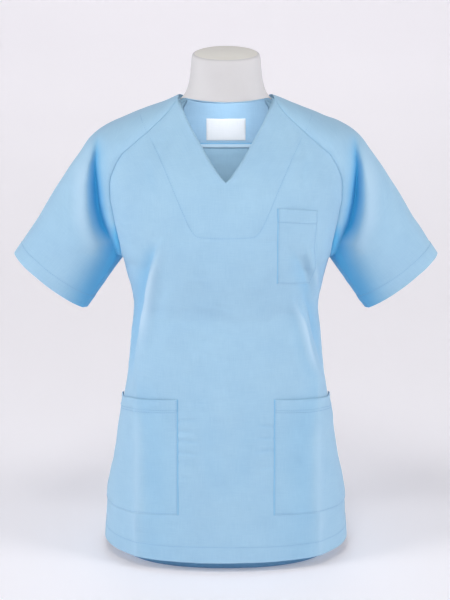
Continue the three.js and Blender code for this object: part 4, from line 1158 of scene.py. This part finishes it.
facingSide = [(44, 627), (58, 634), (64, 650), (66, 690)]
facingSeam = [(-x, z) for x, z in facingSide[::-1]] + [(0, 622)] + facingSide
sewLines("front_stitching", [*hemAndVents(frontHalves), seenLine(frontHalves, roundedCorners(yokeLine))])
sewLines("back_stitching", [*hemAndVents(backHalves), seenLine(backHalves, roundedCorners(facingSeam), 1)])
sides = ((1, "left"), (-1, "right"))
for side, word in sides:
    sewLines(f"sleeve_{word}_stitching", [
        levelLine(sleeves[side], "ring", sleeveSizes["hemDepth"], panelWalls[0], 1, -1),
        seenLine(sleeves, np.array(yokeOnSleeve) * (side, 1))])
for side, word in sides:
    grid, wall, inset = pocketGrids[side], pocketWalls[0], 2.6
    sewLines(f"pocket_{word}_stitching", [
        levelLine(grid, "toInner", inset, wall, 2, -1, True),
        levelLine(grid, "sideZ", pocketSizes["bottom"] + inset, wall, 2, -1),
        levelLine(grid, "sideZ", pocketSizes["band"], wall, 1, -2),
        levelLine(grid, "sideZ", pocketSizes["band"] + 4, wall, 1, -2)])
wall, inset = chestWalls[0], 2.4
sewLines("chest_pocket_stitching", [
    levelLine(chestGrid, "toInner", inset, wall, 2, -1, True),
    levelLine(chestGrid, "toOuter", inset, wall, 2, -1, True),
    levelLine(chestGrid, "sideZ", chestSizes["bottom"] + inset, wall, 2, -2),
    levelLine(chestGrid, "sideZ", chestSizes["band"], wall, 1, -1)])


def labelFrame(inset=1.6):
    x, low, high = labelSizes["halfWidth"] - inset, labelSizes["bottom"] + inset, labelSizes["top"] - inset
    x, z = evenPlaces([(-x, low), (x, low), (x, high), (-x, high), (-x, low)], 160)
    place, right, up = insideBack(x, z), insideBack(x + 0.5, z), insideBack(x, z + 0.5)
    normals = -unit(np.cross(up - place, right - place))
    return place + normals * labelSizes["lift"], normals, 0.75


sewLines("label_stitching", [labelFrame()], whiteThread,
         {**stitchSizes, "pitch": 2.2, "length": 1.8, "radius": 0.22})
stripLine = levelLine(facingGrid, "height", facingSizes["strip"], 0.5, 1, -1)
sewLines("facing_stitching", [(stripLine[0], -stripLine[1], stripLine[2])])
print("stitching made")


# ---- the dress form: rounded rings, with an open way under its neck

formRings = {"columns": ["z", "side", "front", "back", "power"], "rows": [
    (0, 165, 113, 108, 2.3), (5, 169, 117, 112, 2.3), (40, 180, 124, 116, 2.3), (80, 180, 124, 117, 2.3),
    (120, 174, 122, 116, 2.3), (170, 163, 119, 114, 2.3), (220, 157, 116, 109, 2.3), (286, 146, 111, 100, 2.3),
    (352, 139.5, 104.5, 89, 2.3), (395, 135.5, 102.5, 85, 2.3), (426, 139.5, 109, 86, 2.3),
    (473, 150, 118, 90, 2.3), (500, 157, 120, 92, 2.3), (530, 166, 119, 93, 2.3), (560, 175, 115, 92.5, 2.3),
    (590, 183, 106, 90.5, 2.3), (615, 189, 95, 87, 2.3), (635, 191, 82, 83, 2.3), (650, 188, 70, 79, 2.3),
    (662, 182, 59, 75, 2.3), (672, 174, 50, 70, 2.3), (680, 163.5, 43, 66, 2.3), (688, 146, 36, 58, 2.1),
    (694, 132.5, 31, 54, 2), (700, 117.5, 27, 51.5, 1.85), (706, 101.5, 25, 50.5, 1.7), (711, 87, 27, 50.5, 1.55),
    (715, 75, 38, 51, 1.5), (718, 68, 43.5, 52, 1.7), (722.4, 64.1, 44.5, 52, 1.9), (729, 60.2, 44, 52, 2),
    (737.7, 57.3, 43.5, 51.5, 2), (750, 54.7, 43, 51, 2), (768, 52.8, 42.5, 50.5, 2), (780, 51.9, 42, 50, 2),
    (784.2, 50.6, 40.8, 48.8, 2), (785.7, 47.5, 38, 46, 2)]}
neckTilt = {"columns": ["z", "tilt"], "rows": [(737.7, 0), (768, 0.05), (785.7, 0.083)]}
openWay = {
    "outline": [(0, 711.1), (20, 711.9), (38, 713.8), (52, 716.2), (60, 718), (65, 718.2), (69, 715.5), (70.3, 711),
                (70.3, 700), (63.5, 676), (52, 648), (39, 615), (22, 580), (9, 565), (0, 562)],
    "slope": 0.196, "eye": 3400, "front": -170, "back": 150,
}


def loftShape(rings):
    # Quads between rings of points, and a flat fan over each end
    count = rings.shape[1]
    i = np.arange(count)
    j = (i + 1) % count
    r = np.arange(len(rings) - 1)[:, None] * count
    walls = np.stack([r + i, r + j, r + count + j, r + count + i], axis=-1).reshape(-1, 4)
    bottom, top, last = len(rings) * count, len(rings) * count + 1, (len(rings) - 1) * count
    lower = np.stack([j, i, 0 * i + bottom, 0 * i + bottom], axis=1)
    upper = np.stack([last + i, last + j, 0 * i + top, 0 * i + top], axis=1)
    ends = np.stack([rings[0].mean(axis=0), rings[-1].mean(axis=0)])
    return {"points": np.concatenate([rings.reshape(-1, 3), ends]), "faces": np.concatenate([walls, lower, upper])}


def formShape(count=144, between=5):
    # Each ring is a superellipse: x = side |cos a|^(2/power), y = depth |sin a|^(2/power), with their signs
    place = np.arange(len(formRings["rows"]))
    fine = np.linspace(0, place[-1], (len(place) - 1) * between + 1)
    z = smoothCurve(place, column(formRings, "z"), fine)[:, None]
    angle = 2 * np.pi * np.arange(count) / count
    across, deep = (np.sign(wave) * np.abs(wave) ** (2 / along(formRings, "power", z))
                    for wave in (np.cos(angle), np.sin(angle)))
    y = deep * np.where(np.sin(angle) < 0, along(formRings, "front", z), along(formRings, "back", z))
    return loftShape(np.stack([along(formRings, "side", z) * across, y, z + along(neckTilt, "tilt", z) * y], axis=-1))


def openWayShape():
    # The outline drawn as the eye sees it, so that it widens with the way from the eye
    outline = np.array(openWay["outline"], float)
    outline = np.concatenate([outline, outline[-2:0:-1] * np.array([-1, 1])])
    rings = []
    for y in (openWay["front"], openWay["back"]):
        wide = (openWay["eye"] + y) / openWay["eye"]
        rings.append(np.stack([outline[:, 0] * wide, np.full(len(outline), float(y)),
                               outline[:, 1] - openWay["slope"] * y], axis=1))
    return loftShape(np.array(rings))


form = makePiece("form_shell_body", formShape(), shellSatin, ["dress_form"])
form.data.materials.append(shellCap)
form.data.materials.append(shellFootPaintedShade)
cutter = makePiece("open_way", openWayShape(), shellSatin)
opening = form.modifiers.new("open way", "BOOLEAN")
opening.operation = "DIFFERENCE"
opening.object = cutter
opening.solver = "EXACT"
bpy.context.view_layer.update()
formMesh = bpy.data.meshes.new_from_object(form.evaluated_get(bpy.context.evaluated_depsgraph_get()))
form.modifiers.clear()
form.data = formMesh
bpy.data.objects.remove(cutter)
formMesh.set_sharp_from_angle(angle=math.radians(40))
# the cap is the level top above 780 mm, and the foot is what stands below 20 mm, in the blue-grey painted shade
centres, turned = (np.array([getattr(face, name) for face in formMesh.polygons]) for name in ("center", "normal"))
isCap = (centres[:, 2] > 0.78) & (turned[:, 2] > 0.98)
isFoot = centres[:, 2] < 0.02
formMesh.polygons.foreach_set("material_index", (isCap + 2 * isFoot).astype(np.int32))
print("dress form made")


# ---- floor and backdrop: a round sweep of paper that closes the studio on every side

sweep = {"flat": 5.0, "radius": 1.6, "top": 5.2, "around": 96}
bendTurn = np.linspace(0, np.pi / 2, 24)
profile = np.concatenate([
    [(0.01, 0), (1.5, 0), (3.2, 0)],
    np.stack([sweep["flat"] + sweep["radius"] * np.sin(bendTurn), sweep["radius"] * (1 - np.cos(bendTurn))], axis=1),
    [(sweep["flat"] + sweep["radius"], sweep["top"])]])
turn, row = np.meshgrid(np.linspace(0, 2 * np.pi, sweep["around"] + 1), np.arange(len(profile)))
paper = np.stack([profile[row, 0] * np.sin(turn), profile[row, 0] * np.cos(turn), profile[row, 1]], axis=-1)
paperMesh = bpy.data.meshes.new("paper_sweep")
paperMesh.from_pydata(paper.reshape(-1, 3).tolist(), [], gridQuads(len(profile), sweep["around"] + 1, False).tolist())
paperMesh.polygons.foreach_set("use_smooth", np.ones(len(paperMesh.polygons), bool))
paperMesh.materials.append(studioPaper)
paperSweep = bpy.data.objects.new("paper_sweep", paperMesh)
bpy.context.scene.collection.objects.link(paperSweep)
